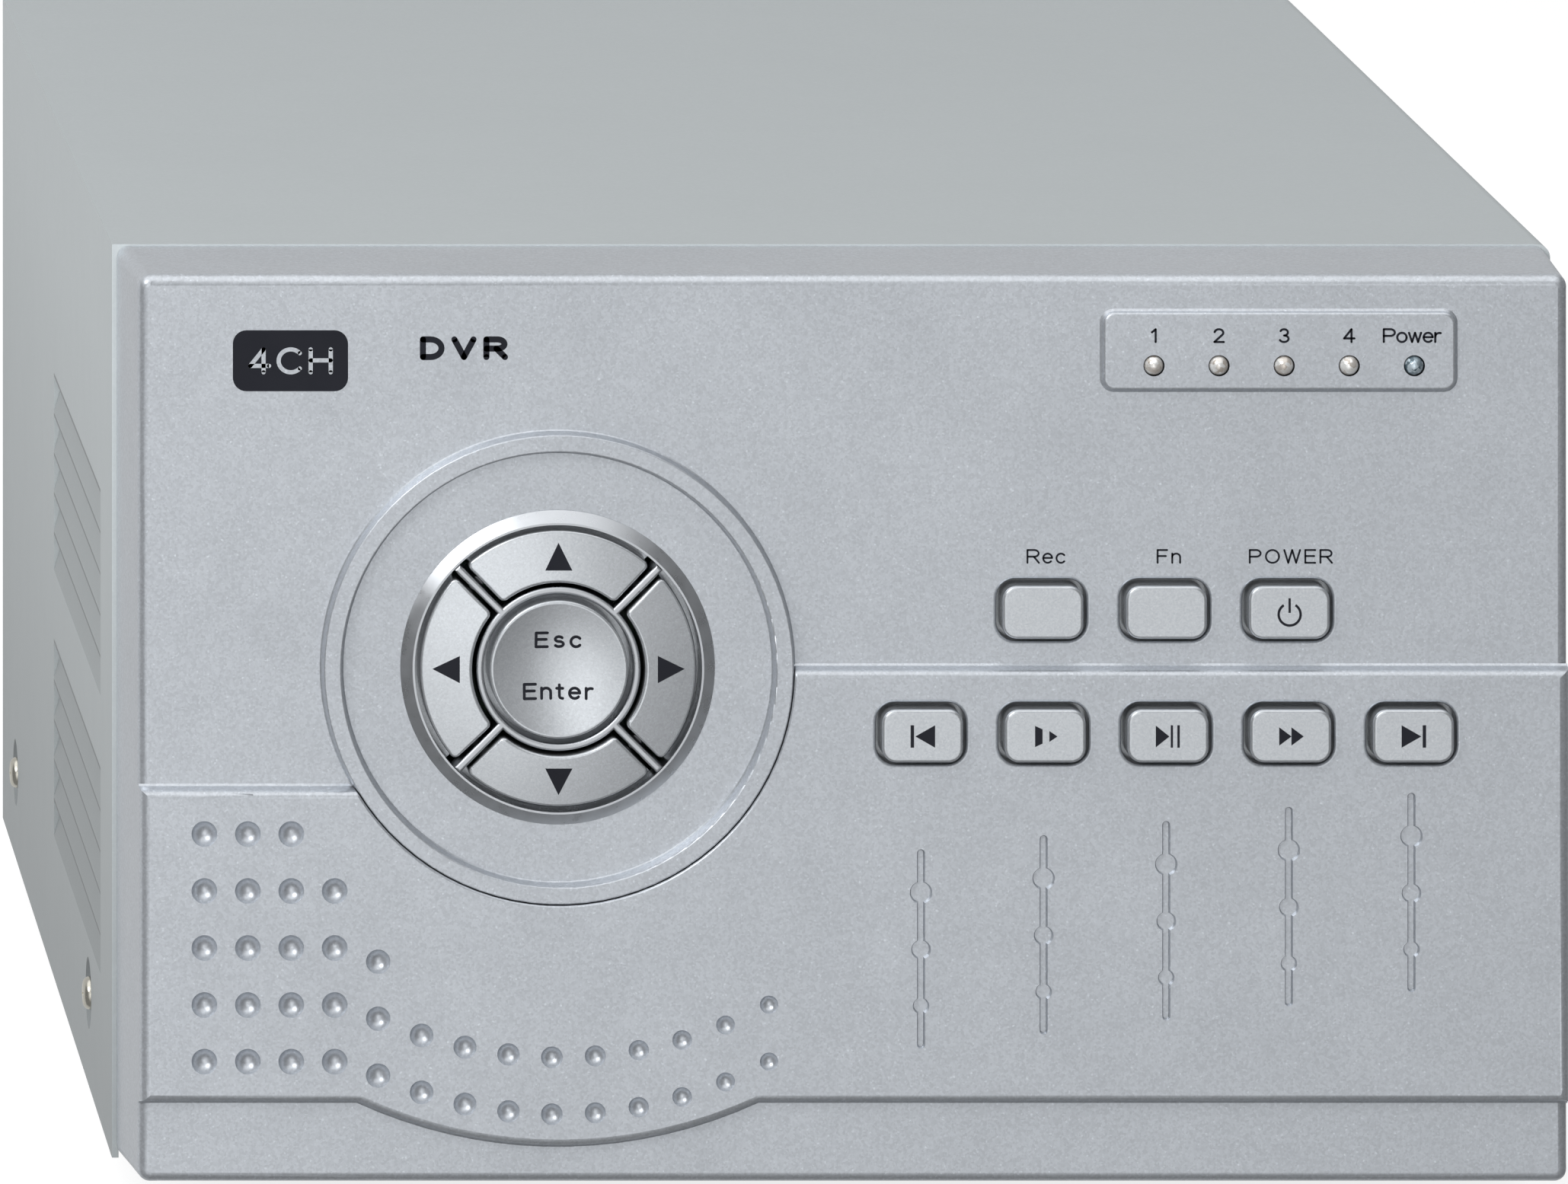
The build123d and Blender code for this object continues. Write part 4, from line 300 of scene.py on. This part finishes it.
def plastic(name, colour, roughness, grain_scale=900.0, grain=0.15, spread=0.05, specular=0.5):
    """Moulded plastic or rubber with fine grain and slightly uneven shade."""
    shader = Shader(name)
    shader.set(
        Base_Color=shader.tinted(colour, shader.uneven(shader.noise(55.0, 4.0), 1, spread)),
        Roughness=shader.uneven(shader.noise(200.0, 3.0), roughness, 0.06),
        Specular_IOR_Level=specular,
    )
    shader.bump(shader.noise(grain_scale, 3.0), grain, 0.05 * MM)
    return shader.material


def metal(name, colour, roughness, streak=(1, 1, 1), streak_scale=400.0, grain=0.08, spread=0.06):
    """Bare or plated metal with painted shade in narrow gaps; streak stretches the grain along one direction.
    """
    shader = Shader(name)
    lines = shader.noise(streak_scale, 4.0, 0.6, shader.stretched(streak))
    stain = shader.uneven(shader.noise(30.0, 3.0), 1, 0.04)
    # streaky grain and random stain, times painted shade in narrow gaps
    mottle = shader.product(shader.uneven(lines, 1, spread), stain, shader.painted_gap_shade())
    shader.set(
        Base_Color=shader.tinted(colour, mottle),
        Metallic=1.0,
        Roughness=shader.ranged(lines, roughness * 0.8, roughness * 1.25, NOISE_LOW, NOISE_HIGH),
    )
    shader.bump(lines, grain, 0.03 * MM)
    return shader.material


def board(name):
    """Green solder mask with faint copper tracks under it."""
    shader = Shader(name)
    tracks = shader.node("ShaderNodeTexBrick")
    tracks.inputs["Scale"].default_value = 160.0
    tracks.inputs["Mortar Size"].default_value = 0.06
    tracks.inputs["Color1"].default_value = (0.010, 0.085, 0.035, 1)
    tracks.inputs["Color2"].default_value = (0.014, 0.110, 0.045, 1)
    tracks.inputs["Mortar"].default_value = (0.035, 0.190, 0.080, 1)
    shader.link(shader.coords, tracks.inputs["Vector"])
    shader.set(Base_Color=tracks.outputs["Color"], Roughness=0.32)
    shader.bump(shader.noise(700.0), 0.1, 0.04 * MM)
    return shader.material


LAMP_FACETS = 1500.0

# A mix node has one set of sockets for each kind of value; these are the ones for colours.
MIX_FACTOR = 0
MIX_FIRST_COLOUR = 6
MIX_SECOND_COLOUR = 7
MIX_COLOUR_RESULT = 2


def lamp_resin(name, dark, light):
    """Milky cast lamp: faceted light and dark patches under a glossy skin."""
    shader = Shader(name)
    facets = shader.cells(LAMP_FACETS)
    tint = shader.node("ShaderNodeMix", data_type="RGBA")
    shader.link(shader.ranged(facets, 0.0, 1.0, 0.15, 0.85), tint.inputs[MIX_FACTOR])
    tint.inputs[MIX_FIRST_COLOUR].default_value = (*dark, 1)
    tint.inputs[MIX_SECOND_COLOUR].default_value = (*light, 1)
    shader.set(
        Base_Color=tint.outputs[MIX_COLOUR_RESULT],
        Metallic=0.55,
        Roughness=0.16,
        Coat_Weight=1.0,
        Coat_Roughness=0.02,
    )
    shader.bump(facets, 0.35, 0.08 * MM)
    return shader.material


SILVER = lacquer(
    "silver_lacquer",
    colour=(0.600, 0.628, 0.668),
    flake_scale=3000.0,
    flake_low=0.915,
    metallic=0.78,
    roughness=0.33,
    coat=0.12,
    peel=0.20,
    sparkle=0.22,
    uneven=0.024,
)
KEY_SILVER = lacquer(
    "key_lacquer",
    colour=(0.650, 0.675, 0.705),
    flake_scale=4200.0,
    flake_low=0.95,
    metallic=0.84,
    roughness=0.25,
    coat=0.12,
    peel=0.08,
    sparkle=0.12,
    uneven=0.015,
)
COVER = lacquer(
    "cover_paint",
    colour=(0.432, 0.463, 0.472),
    flake_scale=2600.0,
    flake_low=0.98,
    metallic=0.30,
    roughness=0.42,
    coat=0.05,
    peel=0.08,
    sparkle=0.05,
    uneven=0.008,
    # painted light and shade on the cover's sides, louvres and front edge
    shade=cover_shading,
)
INK = plastic("dark_ink", (0.017, 0.018, 0.024), 0.60, 1500.0, grain=0.08, spread=0.10, specular=0.2)

# One finish for each material slot of the part
FINISHES = {
    "bezel_silver": SILVER,
    "trim_satin": metal("satin_trim", (0.66, 0.68, 0.71), 0.30),
    "key_silver": KEY_SILVER,
    "cover_paint": COVER,
    "zinc_sheet": metal("zinc_sheet", (0.62, 0.63, 0.65), 0.38, (1, 1, 0.12), 500.0),
    "screw_nickel": metal("screw_nickel", (0.80, 0.77, 0.68), 0.20),
    "rubber_black": plastic("rubber", (0.022, 0.022, 0.023), 0.70, 500.0, grain=0.35),
    "lamp_clear": lamp_resin("lamp_resin", (0.62, 0.56, 0.50), (1.0, 1.0, 0.98)),
    "lamp_dark": lamp_resin("lamp_resin_dark", (0.10, 0.15, 0.18), (0.62, 0.72, 0.78)),
    "board_green": board("solder_mask"),
    "plastic_black": plastic("black_plastic", (0.025, 0.026, 0.028), 0.45),
    "plastic_white": plastic("white_plastic", (0.72, 0.72, 0.69), 0.40),
    "nickel": metal("nickel", (0.78, 0.76, 0.70), 0.22),
    "gold_pin": metal("gold_flash", (0.86, 0.66, 0.30), 0.25),
    "alloy_cast": metal("cast_alloy", (0.55, 0.56, 0.57), 0.45, grain=0.25),
    "alloy_black": metal("black_anodised", (0.05, 0.05, 0.055), 0.40),
    "disk_mirror": metal("disk_surface", (0.86, 0.87, 0.89), 0.06),
    "cable_grey": plastic("cable_grey", (0.30, 0.31, 0.32), 0.50),
}

for entry in frame["record"]["subparts"]:
    piece = frame["nodes"][entry["node"]]
    piece.data.materials.clear()
    piece.data.materials.append(FINISHES[entry["material_slot"]])


# ------------------------------------------------------------------ printed marks

INK_THICK = 0.03 * MM
INK_GAP = 0.006 * MM
ROUND_STEPS = 12
LETTER_WIDTH = 1.12


def level(y):
    """A flat surface at y."""
    return lambda x, z: y


def add_patch(bm, outline, surface):
    """A closed convex outline in (x, z), filled and given the thickness of ink over a surface.

    surface is a function of (x, z) that gives the y of the face under the ink."""
    front = [bm.verts.new((x, surface(x, z) - INK_THICK, z)) for x, z in outline]
    back = [bm.verts.new((x, surface(x, z) - INK_GAP, z)) for x, z in outline]
    bm.faces.new(front)
    bm.faces.new(list(reversed(back)))
    count = len(outline)
    for i in range(count):
        j = (i + 1) % count
        bm.faces.new((front[j], front[i], back[i], back[j]))


def printed_piece(name, bm, body, material):
    """The finished print as an object that rides on a body."""
    bmesh.ops.recalc_face_normals(bm, faces=bm.faces)
    mesh = bpy.data.meshes.new(name)
    bm.to_mesh(mesh)
    bm.free()
    mesh.materials.append(material)
    made = bpy.data.objects.new(name, mesh)
    scene.collection.objects.link(made)
    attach(made, body)


def flat_piece(name, outlines, surface, body):
    """Printed shapes as one piece."""
    bm = bmesh.new()
    for outline in outlines:
        add_patch(bm, outline, surface)
    printed_piece(name, bm, body, INK)


def arc(x, z, rx, rz, start, end, steps=14):
    """Points along an elliptic arc, angles in degrees."""
    turns = [math.radians(start + (end - start) * step / steps) for step in range(steps + 1)]
    return [(x + rx * math.cos(a), z + rz * math.sin(a)) for a in turns]


def zigzag(step, height, count):
    """Straight strokes that run down and up in turn, for v and w."""
    corners = [(i * step, height * (1 - i % 2)) for i in range(count + 1)]
    return [[corners[i], corners[i + 1]] for i in range(count)]


STEM = [(0, 0), (0, 1)]

# Plain uniform-stroke letters. Each is (width, strokes) with a cap height of 1.
GLYPHS = {
    "R": (
        0.70,
        [STEM, [(0, 1), *arc(0.42, 0.74, 0.26, 0.26, 90, -90), (0, 0.48)], [(0.38, 0.48), (0.70, 0)]],
    ),
    "P": (0.66, [STEM, [(0, 1), *arc(0.40, 0.74, 0.26, 0.26, 90, -90), (0, 0.48)]]),
    "D": (0.70, [STEM, [(0, 1), *arc(0.28, 0.5, 0.42, 0.5, 90, -90), (0, 0)]]),
    "O": (0.80, [arc(0.40, 0.5, 0.40, 0.5, 0, 360, 32)]),
    "C": (0.74, [arc(0.40, 0.5, 0.40, 0.5, 42, 318, 26)]),
    "E": (0.60, [STEM, [(0, 1), (0.60, 1)], [(0, 0.53), (0.54, 0.53)], [(0, 0), (0.60, 0)]]),
    "F": (0.58, [STEM, [(0, 1), (0.58, 1)], [(0, 0.53), (0.50, 0.53)]]),
    "H": (0.66, [STEM, [(0.66, 0), (0.66, 1)], [(0, 0.52), (0.66, 0.52)]]),
    "V": (0.72, zigzag(0.36, 1, 2)),
    "W": (0.96, zigzag(0.24, 1, 4)),
    "c": (0.52, [arc(0.28, 0.36, 0.27, 0.36, 42, 318, 22)]),
    "e": (0.56, [[(0.02, 0.38), (0.55, 0.38)], arc(0.28, 0.36, 0.27, 0.36, 4, 318, 26)]),
    "n": (0.48, [[(0, 0), (0, 0.72)], [*arc(0.24, 0.45, 0.24, 0.27, 180, 0), (0.48, 0)]]),
    "o": (0.56, [arc(0.28, 0.36, 0.28, 0.36, 0, 360, 28)]),
    "r": (0.34, [[(0, 0), (0, 0.72)], arc(0.25, 0.42, 0.25, 0.29, 180, 72, 8)]),
    "s": (0.48, [[*arc(0.24, 0.545, 0.20, 0.175, 35, 270), *arc(0.24, 0.19, 0.23, 0.185, 90, -145)]]),
    "t": (
        0.34,
        [[(0.14, 0.94), (0.14, 0.18), *arc(0.30, 0.17, 0.16, 0.17, 180, 275, 6)], [(0, 0.70), (0.32, 0.70)]],
    ),
    "w": (0.72, zigzag(0.18, 0.72, 4)),
    "1": (0.24, [[(0, 0.76), (0.22, 1)], [(0.22, 1), (0.22, 0)]]),
    "2": (0.56, [[*arc(0.27, 0.73, 0.26, 0.27, 170, -32), (0, 0)], [(0, 0), (0.56, 0)]]),
    "3": (0.54, [arc(0.26, 0.755, 0.23, 0.245, 155, -90), arc(0.26, 0.255, 0.27, 0.255, 90, -155)]),
    "4": (0.62, [[(0.44, 0), (0.44, 1)], [(0.44, 1), (0, 0.28)], [(0, 0.28), (0.62, 0.28)]]),
}


def stroke_strip(points, thick):
    """Left and right edge points of a stroke of even width."""
    half = thick / 2
    count = len(points)
    left, right = [], []
    for i, (x, z) in enumerate(points):
        ax, az = points[max(i - 1, 0)]
        bx, bz = points[min(i + 1, count - 1)]
        dx, dz = bx - ax, bz - az
        length = math.hypot(dx, dz)
        dx, dz = dx / length, dz / length
        left.append((x - dz * half, z + dx * half))
        right.append((x + dz * half, z - dx * half))
    return left, right


def add_stroke(bm, points, thick, surface):
    """One stroke of a letter: a strip of ink along the points, with a round patch at both ends."""
    left, right = stroke_strip(points, thick)
    rings = []
    for (lx, lz), (rx, rz) in zip(left, right):
        corners = [(lx, lz, INK_THICK), (rx, rz, INK_THICK), (rx, rz, INK_GAP), (lx, lz, INK_GAP)]
        rings.append([bm.verts.new((x, surface(x, z) - lift, z)) for x, z, lift in corners])
    for near, far in zip(rings, rings[1:]):
        for k in range(4):
            m = (k + 1) % 4
            bm.faces.new((near[k], near[m], far[m], far[k]))
    bm.faces.new(list(reversed(rings[0])))
    bm.faces.new(rings[-1])
    for x_end, z_end in (points[0], points[-1]):
        add_patch(bm, arc(x_end, z_end, thick / 2, thick / 2, 0, 360, ROUND_STEPS)[:-1], surface)


def lettering(name, words, surface, body, material=INK):
    """Printed words as one piece. Each word is (text, centre x, baseline z, cap height, width, stroke)."""
    bm = bmesh.new()
    for text, x, z, cap, width, thick in words:
        stretch = LETTER_WIDTH * cap
        natural = sum(GLYPHS[letter][0] for letter in text) * stretch
        gap = (width - thick - natural) / max(len(text) - 1, 1)
        pen = x - (width - thick) / 2 if len(text) > 1 else x - natural / 2
        tall = cap - thick
        for letter in text:
            glyph_width, strokes = GLYPHS[letter]
            for stroke in strokes:
                points = [(pen + px * stretch, z + thick / 2 + pz * tall) for px, pz in stroke]
                add_stroke(bm, points, thick, surface)
            pen += glyph_width * stretch + gap
    printed_piece(name, bm, body, material)


# Labels over the upper keys, and beside the lamps
CAP = 2.16 * MM
LABEL_RISE = 6.85 * MM
LABEL_STROKE = 0.28 * MM
words = []
for key, text, shift, width in [
    ("rec_key", "Rec", 0.7, 5.8),
    ("fn_key", "Fn", 0.6, 3.6),
    ("power_key", "POWER", 0.5, 12.4),
]:
    spot = centre(key)
    words.append((text, spot.x + shift * MM, spot.z + LABEL_RISE, CAP, width * MM, LABEL_STROKE))
lettering("label_upper_keys", words, level(FACE_Y), "case")

lamp_low, lamp_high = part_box("channel_leds")
CHANNELS = 4
LAMP_RADIUS = 1.9 * MM
LAMP_CAP = 2.2 * MM
LAMP_LABEL_STROKE = 0.32 * MM
lamp_pitch = (lamp_high.x - lamp_low.x - 2 * LAMP_RADIUS) / (CHANNELS - 1)
lamp_label_z = (lamp_low.z + lamp_high.z) / 2 + 3.35 * MM
words = []
for number in range(CHANNELS):
    lamp_x = lamp_low.x + LAMP_RADIUS + number * lamp_pitch
    words.append((str(number + 1), lamp_x, lamp_label_z, LAMP_CAP, 1.35 * MM, LAMP_LABEL_STROKE))
power_label_x = centre("power_led").x - 0.3 * MM
words.append(("Power", power_label_x, lamp_label_z, LAMP_CAP, 8.75 * MM, LAMP_LABEL_STROKE))
lettering("label_lamps", words, level(LAMP_PLATE_Y), "case")


def placed(points, spot):
    """Points in millimetres round a spot, in metres."""
    return [(spot.x + px * MM, spot.z + pz * MM) for px, pz in points]


def body_of(key):
    return key.replace("_key", "_button")


def rectangle(x0, z0, x1, z1):
    return [(x0, z0), (x1, z0), (x1, z1), (x0, z1)]


def key_mark(key, outlines, spot, surface):
    """Printed mark on one key, in millimetres round a spot."""
    name = "mark_" + key.replace("_key", "")
    flat_piece(name, [placed(outline, spot) for outline in outlines], surface, body_of(key))


def pointer(x0, x1, half):
    """A triangle from an upright side at x0 to a point at x1."""
    return [(x0, -half), (x1, 0), (x0, half)]


# Marks on the lower keys
KEY_MARKS = {
    "previous_key": [rectangle(-1.8, -1.65, -1.3, 1.65), pointer(1.8, -1.1, 1.65)],
    "slow_key": [[(-1.55, -1.55), (-0.45, -1.05), (-0.45, 1.05), (-1.55, 1.55)], pointer(0.55, 1.75, 0.8)],
    "play_pause_key": [
        pointer(-1.85, 0.15, 1.6),
        rectangle(0.35, -1.65, 0.68, 1.65),
        rectangle(1.32, -1.65, 1.68, 1.65),
    ],
    "fast_forward_key": [pointer(-1.75, 0.05, 1.35), pointer(0.05, 1.85, 1.35)],
    "next_key": [pointer(-1.8, 1.1, 1.65), rectangle(1.3, -1.65, 1.8, 1.65)],
}

# Power symbol: a broken ring and a bar
RING_STEPS = 36
RING_INNER = 1.44
RING_OUTER = 1.80
RING_DROP = 0.25
RING_GAP = 32.0
ring_arcs = [
    arc(0, -RING_DROP, radius, radius, 90 + RING_GAP, 450 - RING_GAP, RING_STEPS)
    for radius in (RING_INNER, RING_OUTER)
]
KEY_MARKS["power_key"] = [
    [ring_arcs[0][i], ring_arcs[1][i], ring_arcs[1][i + 1], ring_arcs[0][i + 1]] for i in range(RING_STEPS)
]
KEY_MARKS["power_key"].append(rectangle(-0.17, 0.0, 0.17, 2.15))

for key, outlines in KEY_MARKS.items():
    key_mark(key, outlines, centre(key), level(key_front(key)))

# Triangles on the arrow keys. The four keys share one crowned surface: a ball centred on the pad's axis that
# passes through the keys' inner edges.
pad = centre("enter_key")
TRIANGLE_RADIUS = 16.6
TRIANGLE_HALF = 2.0
KEY_PROUD = 1.9 * MM
CROWN_RADIUS = 150.0 * MM
CROWN_INNER = 12.75 * MM
crown_y = FACE_Y - KEY_PROUD + math.sqrt(CROWN_RADIUS**2 - CROWN_INNER**2)


def crown_surface(x, z):
    return crown_y - math.sqrt(CROWN_RADIUS**2 - (x - pad.x) ** 2 - (z - pad.z) ** 2)


upright = [
    (-TRIANGLE_HALF, TRIANGLE_RADIUS - TRIANGLE_HALF),
    (TRIANGLE_HALF, TRIANGLE_RADIUS - TRIANGLE_HALF),
    (0, TRIANGLE_RADIUS + TRIANGLE_HALF),
]
for key, turn in [("up_key", 0), ("left_key", 90), ("down_key", 180), ("right_key", 270)]:
    cosine, sine = math.cos(math.radians(turn)), math.sin(math.radians(turn))
    triangle = [(x * cosine - z * sine, x * sine + z * cosine) for x, z in upright]
    key_mark(key, [triangle], pad, crown_surface)

# Two words in the dished centre key
DISH_DEPTH = 1.1 * MM
DISH_RADIUS = 9.7 * MM
dish_ball = (DISH_RADIUS**2 + DISH_DEPTH**2) / (2 * DISH_DEPTH)
dish_y = key_front("enter_key") - dish_ball + DISH_DEPTH


def dish_surface(x, z):
    return dish_y + math.sqrt(dish_ball**2 - (x - pad.x) ** 2 - (z - pad.z) ** 2)


ENTER_CAP = 2.5 * MM
ENTER_STROKE = 0.42 * MM
lettering(
    "mark_enter",
    [
        ("Esc", pad.x, pad.z + 3.0 * MM, ENTER_CAP, 7.0 * MM, ENTER_STROKE),
        ("Enter", pad.x, pad.z - 4.6 * MM, ENTER_CAP, 10.5 * MM, ENTER_STROKE),
    ],
    dish_surface,
    "enter_button",
)

# Generic badge at the upper left: a dark rounded block with a plain channel count
badge = Vector((-83.0 * MM, 0, FACE_BOTTOM + 121.2 * MM))
BADGE_WIDTH = 17.0
BADGE_HEIGHT = 9.0
BADGE_CORNER = 2.0
CORNER_STEPS = 8
outline = []
for side_x, side_z, start in [(1, 1, 0), (-1, 1, 90), (-1, -1, 180), (1, -1, 270)]:
    corner_x = side_x * (BADGE_WIDTH / 2 - BADGE_CORNER)
    corner_z = side_z * (BADGE_HEIGHT / 2 - BADGE_CORNER)
    outline += arc(corner_x, corner_z, BADGE_CORNER, BADGE_CORNER, start, start + 90, CORNER_STEPS)
flat_piece("badge_block", [placed(outline, badge)], level(FACE_Y), "case")
lettering(
    "badge_count",
    [("4CH", badge.x, badge.z - 2.0 * MM, 4.0 * MM, 12.5 * MM, 0.62 * MM)],
    level(FACE_Y - INK_THICK),
    "case",
    SILVER,
)
lettering(
    "badge_type",
    [("DVR", -57.4 * MM, FACE_BOTTOM + 121.3 * MM, 3.5 * MM, 13.0 * MM, 0.90 * MM)],
    level(FACE_Y),
    "case",
)


# ------------------------------------------------------------------ floor, light and camera


def area_light(name, location, target, width, height, power):
    """A soft light that neither the camera nor reflections see."""
    lamp = bpy.data.lights.new(name, "AREA")
    lamp.shape = "RECTANGLE"
    lamp.size = width
    lamp.size_y = height
    lamp.energy = power
    holder = bpy.data.objects.new(name, lamp)
    holder.location = location
    holder.rotation_euler = (Vector(target) - Vector(location)).to_track_quat("-Z", "Y").to_euler()
    holder.visible_camera = False
    holder.visible_glossy = False
    scene.collection.objects.link(holder)


area_light("overhead_softbox", (0.0, -0.1, 1.4), (0, 0.0, 0.1), 1.4, 1.4, 9.0)
area_light("front_left_softbox", (-0.75, -1.15, 0.75), (0, -0.13, 0.09), 0.8, 0.8, 15.0)
area_light("left_fill", (-1.3, 0.25, 0.45), (0, 0.0, 0.08), 0.9, 0.7, 9.0)

FLOOR_RADIUS = 14.0
bm = bmesh.new()
bmesh.ops.create_circle(bm, cap_ends=True, segments=96, radius=FLOOR_RADIUS)
floor_mesh = bpy.data.meshes.new("floor")
bm.to_mesh(floor_mesh)
bm.free()
floor = bpy.data.objects.new("floor", floor_mesh)
scene.collection.objects.link(floor)
floor.visible_glossy = False
floor.visible_shadow = False


PAPER_GREY = 0.30
PAPER_GLOW = 0.78


def mix(tree, factor, first, second):
    """One shader where factor is zero and another where it is one."""
    made = tree.nodes.new("ShaderNodeMixShader")
    for socket, source in zip(made.inputs, (factor, first, second)):
        tree.links.new(source, socket)
    return made.outputs[0]


def floor_material():
    """Pale paper: bright to the camera, with a soft contact shadow; dull to reflections; clear from below."""
    shader = Shader("pale_paper")
    tree = shader.tree
    grain = shader.uneven(shader.noise(9.0, 4.0), 1, 0.005)
    shader.set(Base_Color=shader.tinted((PAPER_GREY, PAPER_GREY, PAPER_GREY), grain), Roughness=0.9)
    shader.bump(shader.noise(800.0, 3.0), 0.1, 0.1 * MM)
    paper = tree.nodes.new("ShaderNodeBsdfDiffuse")
    paper.inputs["Color"].default_value = (PAPER_GREY, PAPER_GREY, PAPER_GREY, 1)
    glow = tree.nodes.new("ShaderNodeEmission")
    glow.inputs["Color"].default_value = (1, 1, 1, 1)
    glow.inputs["Strength"].default_value = PAPER_GLOW
    both = tree.nodes.new("ShaderNodeAddShader")
    tree.links.new(paper.outputs[0], both.inputs[0])
    tree.links.new(glow.outputs[0], both.inputs[1])
    path = tree.nodes.new("ShaderNodeLightPath")
    seen = mix(tree, path.outputs["Is Camera Ray"], shader.bsdf.outputs[0], both.outputs[0])
    backfacing = tree.nodes.new("ShaderNodeNewGeometry").outputs["Backfacing"]
    hole = tree.nodes.new("ShaderNodeBsdfTransparent")
    final = mix(tree, backfacing, seen, hole.outputs[0])
    tree.links.new(final, tree.nodes["Material Output"].inputs["Surface"])
    return shader.material


floor_mesh.materials.append(floor_material())

# Strengths of what the reflections see
FRONT_GLOW = 0.66
SPOT_GLOW = 0.39
UPPER_GLOW = 0.34
HIGH_GLOW = 0.24
CEILING_GLOW = 1.15
BACK_GLOW = 0.52
SIDE_GLOW = 0.20
WINDOW_GLOW = 3.0
AMBIENT = 0.45


def studio_world():
    """White for the camera. Reflections see a bright ceiling, a softer front and back, and dark sides."""
    world = bpy.data.worlds.new("studio")
    scene.world = world
    world.use_nodes = True
    world.cycles.sampling_method = "NONE"
    tree = world.node_tree

    def link_or_set(value, socket):
        """Give a socket a number, or link another socket to it."""
        if isinstance(value, (int, float)):
            socket.default_value = value
        else:
            tree.links.new(value, socket)

    def math_node(operation, a, b=0.0):
        made = tree.nodes.new("ShaderNodeMath")
        made.operation = operation
        link_or_set(a, made.inputs[0])
        link_or_set(b, made.inputs[1])
        return made.outputs[0]

    def smooth(source, low, high, out_low, out_high, kind="SMOOTHSTEP"):
        made = tree.nodes.new("ShaderNodeMapRange")
        made.interpolation_type = kind
        for socket, value in zip(made.inputs, (source, low, high, out_low, out_high)):
            link_or_set(value, socket)
        return made.outputs["Result"]

    def toward(x, y, z):
        """Cosine between the ray and a direction."""
        made = tree.nodes.new("ShaderNodeVectorMath")
        made.operation = "DOT_PRODUCT"
        tree.links.new(direction, made.inputs[0])
        made.inputs[1].default_value = Vector((x, y, z)).normalized()
        return made.outputs["Value"]

    direction = tree.nodes.new("ShaderNodeTexCoord").outputs["Generated"]
    split = tree.nodes.new("ShaderNodeSeparateXYZ")
    tree.links.new(direction, split.inputs[0])
    across, along, upward = split.outputs
    front = smooth(toward(0.02, -1, -0.08), 0.58, 0.985, 0.0, FRONT_GLOW)
    front = math_node("MULTIPLY", front, smooth(across, 0.02, 0.30, 1.12, 0.55, "LINEAR"))
    front = math_node("MULTIPLY", front, smooth(upward, -0.26, -0.16, 0.92, 1.06, "LINEAR"))
    spot = smooth(toward(0.0, -0.98, -0.2), 0.955, 0.9985, 0.0, SPOT_GLOW)
    upper = smooth(toward(-0.05, -1, 0.05), 0.972, 0.997, 0.0, UPPER_GLOW)
    high = smooth(toward(-0.05, -1, 0.24), 0.975, 0.998, 0.0, HIGH_GLOW)
    ceiling = smooth(toward(-0.1, -0.35, 0.94), 0.50, 0.92, 0.0, CEILING_GLOW)
    behind = smooth(along, -0.05, 0.35, 0.0, BACK_GLOW)
    behind = math_node("MULTIPLY", behind, smooth(across, 0.45, 0.9, 1.0, 0.3, "LINEAR"))
    window = smooth(toward(-0.55, -0.75, 0.62), 0.955, 0.975, 0.0, WINDOW_GLOW)
    glow = math_node("MAXIMUM", front, ceiling)
    glow = math_node("MAXIMUM", glow, behind)
    glow = math_node("MAXIMUM", glow, SIDE_GLOW)
    for extra in (window, spot, upper, high):
        glow = math_node("ADD", glow, extra)

    def background(colour, strength):
        made = tree.nodes.new("ShaderNodeBackground")
        made.inputs["Color"].default_value = (*colour, 1)
        link_or_set(strength, made.inputs["Strength"])
        return made.outputs[0]

    mirrored = background((0.985, 0.995, 1.0), glow)
    ambient = background((0.96, 0.98, 1.0), AMBIENT)
    white = background((1, 1, 1), 1.0)
    path = tree.nodes.new("ShaderNodeLightPath")
    scattered = mix(tree, path.outputs["Is Diffuse Ray"], mirrored, ambient)
    seen = mix(tree, path.outputs["Is Camera Ray"], scattered, white)
    tree.links.new(seen, tree.nodes["World Output"].inputs["Surface"])


studio_world()

scene.view_settings.view_transform = "Standard"

# The photograph is an off-axis view: the camera looks straight along +Y from above and to the left, and the
# lens shift slides the frame down and to the right. A driver drops the shift when the camera moves elsewhere.
CAMERA_BACK = 1.951
CAMERA_X = -0.2663
CAMERA_Z = 0.5027
SHIFT_X = 1.1071
SHIFT_Y = -1.7516
camera_data = bpy.data.cameras.new("camera")
camera_data.sensor_width = 36.0
camera_data.lens = 303.6
camera_data.clip_start = 0.05
camera_data.clip_end = 60.0
camera = bpy.data.objects.new("camera", camera_data)
camera.location = (CAMERA_X, FACE_Y - CAMERA_BACK, CAMERA_Z)
camera.rotation_euler = (math.radians(90), 0, 0)
scene.collection.objects.link(camera)
scene.camera = camera
for path_name, shift in [("shift_x", SHIFT_X), ("shift_y", SHIFT_Y)]:
    driver = camera_data.driver_add(path_name).driver
    driver.type = "SCRIPTED"
    variable = driver.variables.new()
    variable.name = "y"
    variable.type = "SINGLE_PROP"
    variable.targets[0].id = camera
    variable.targets[0].data_path = "location[1]"
    driver.expression = f"{shift} if abs(y - ({camera.location.y:.6f})) < 0.001 else 0.0"
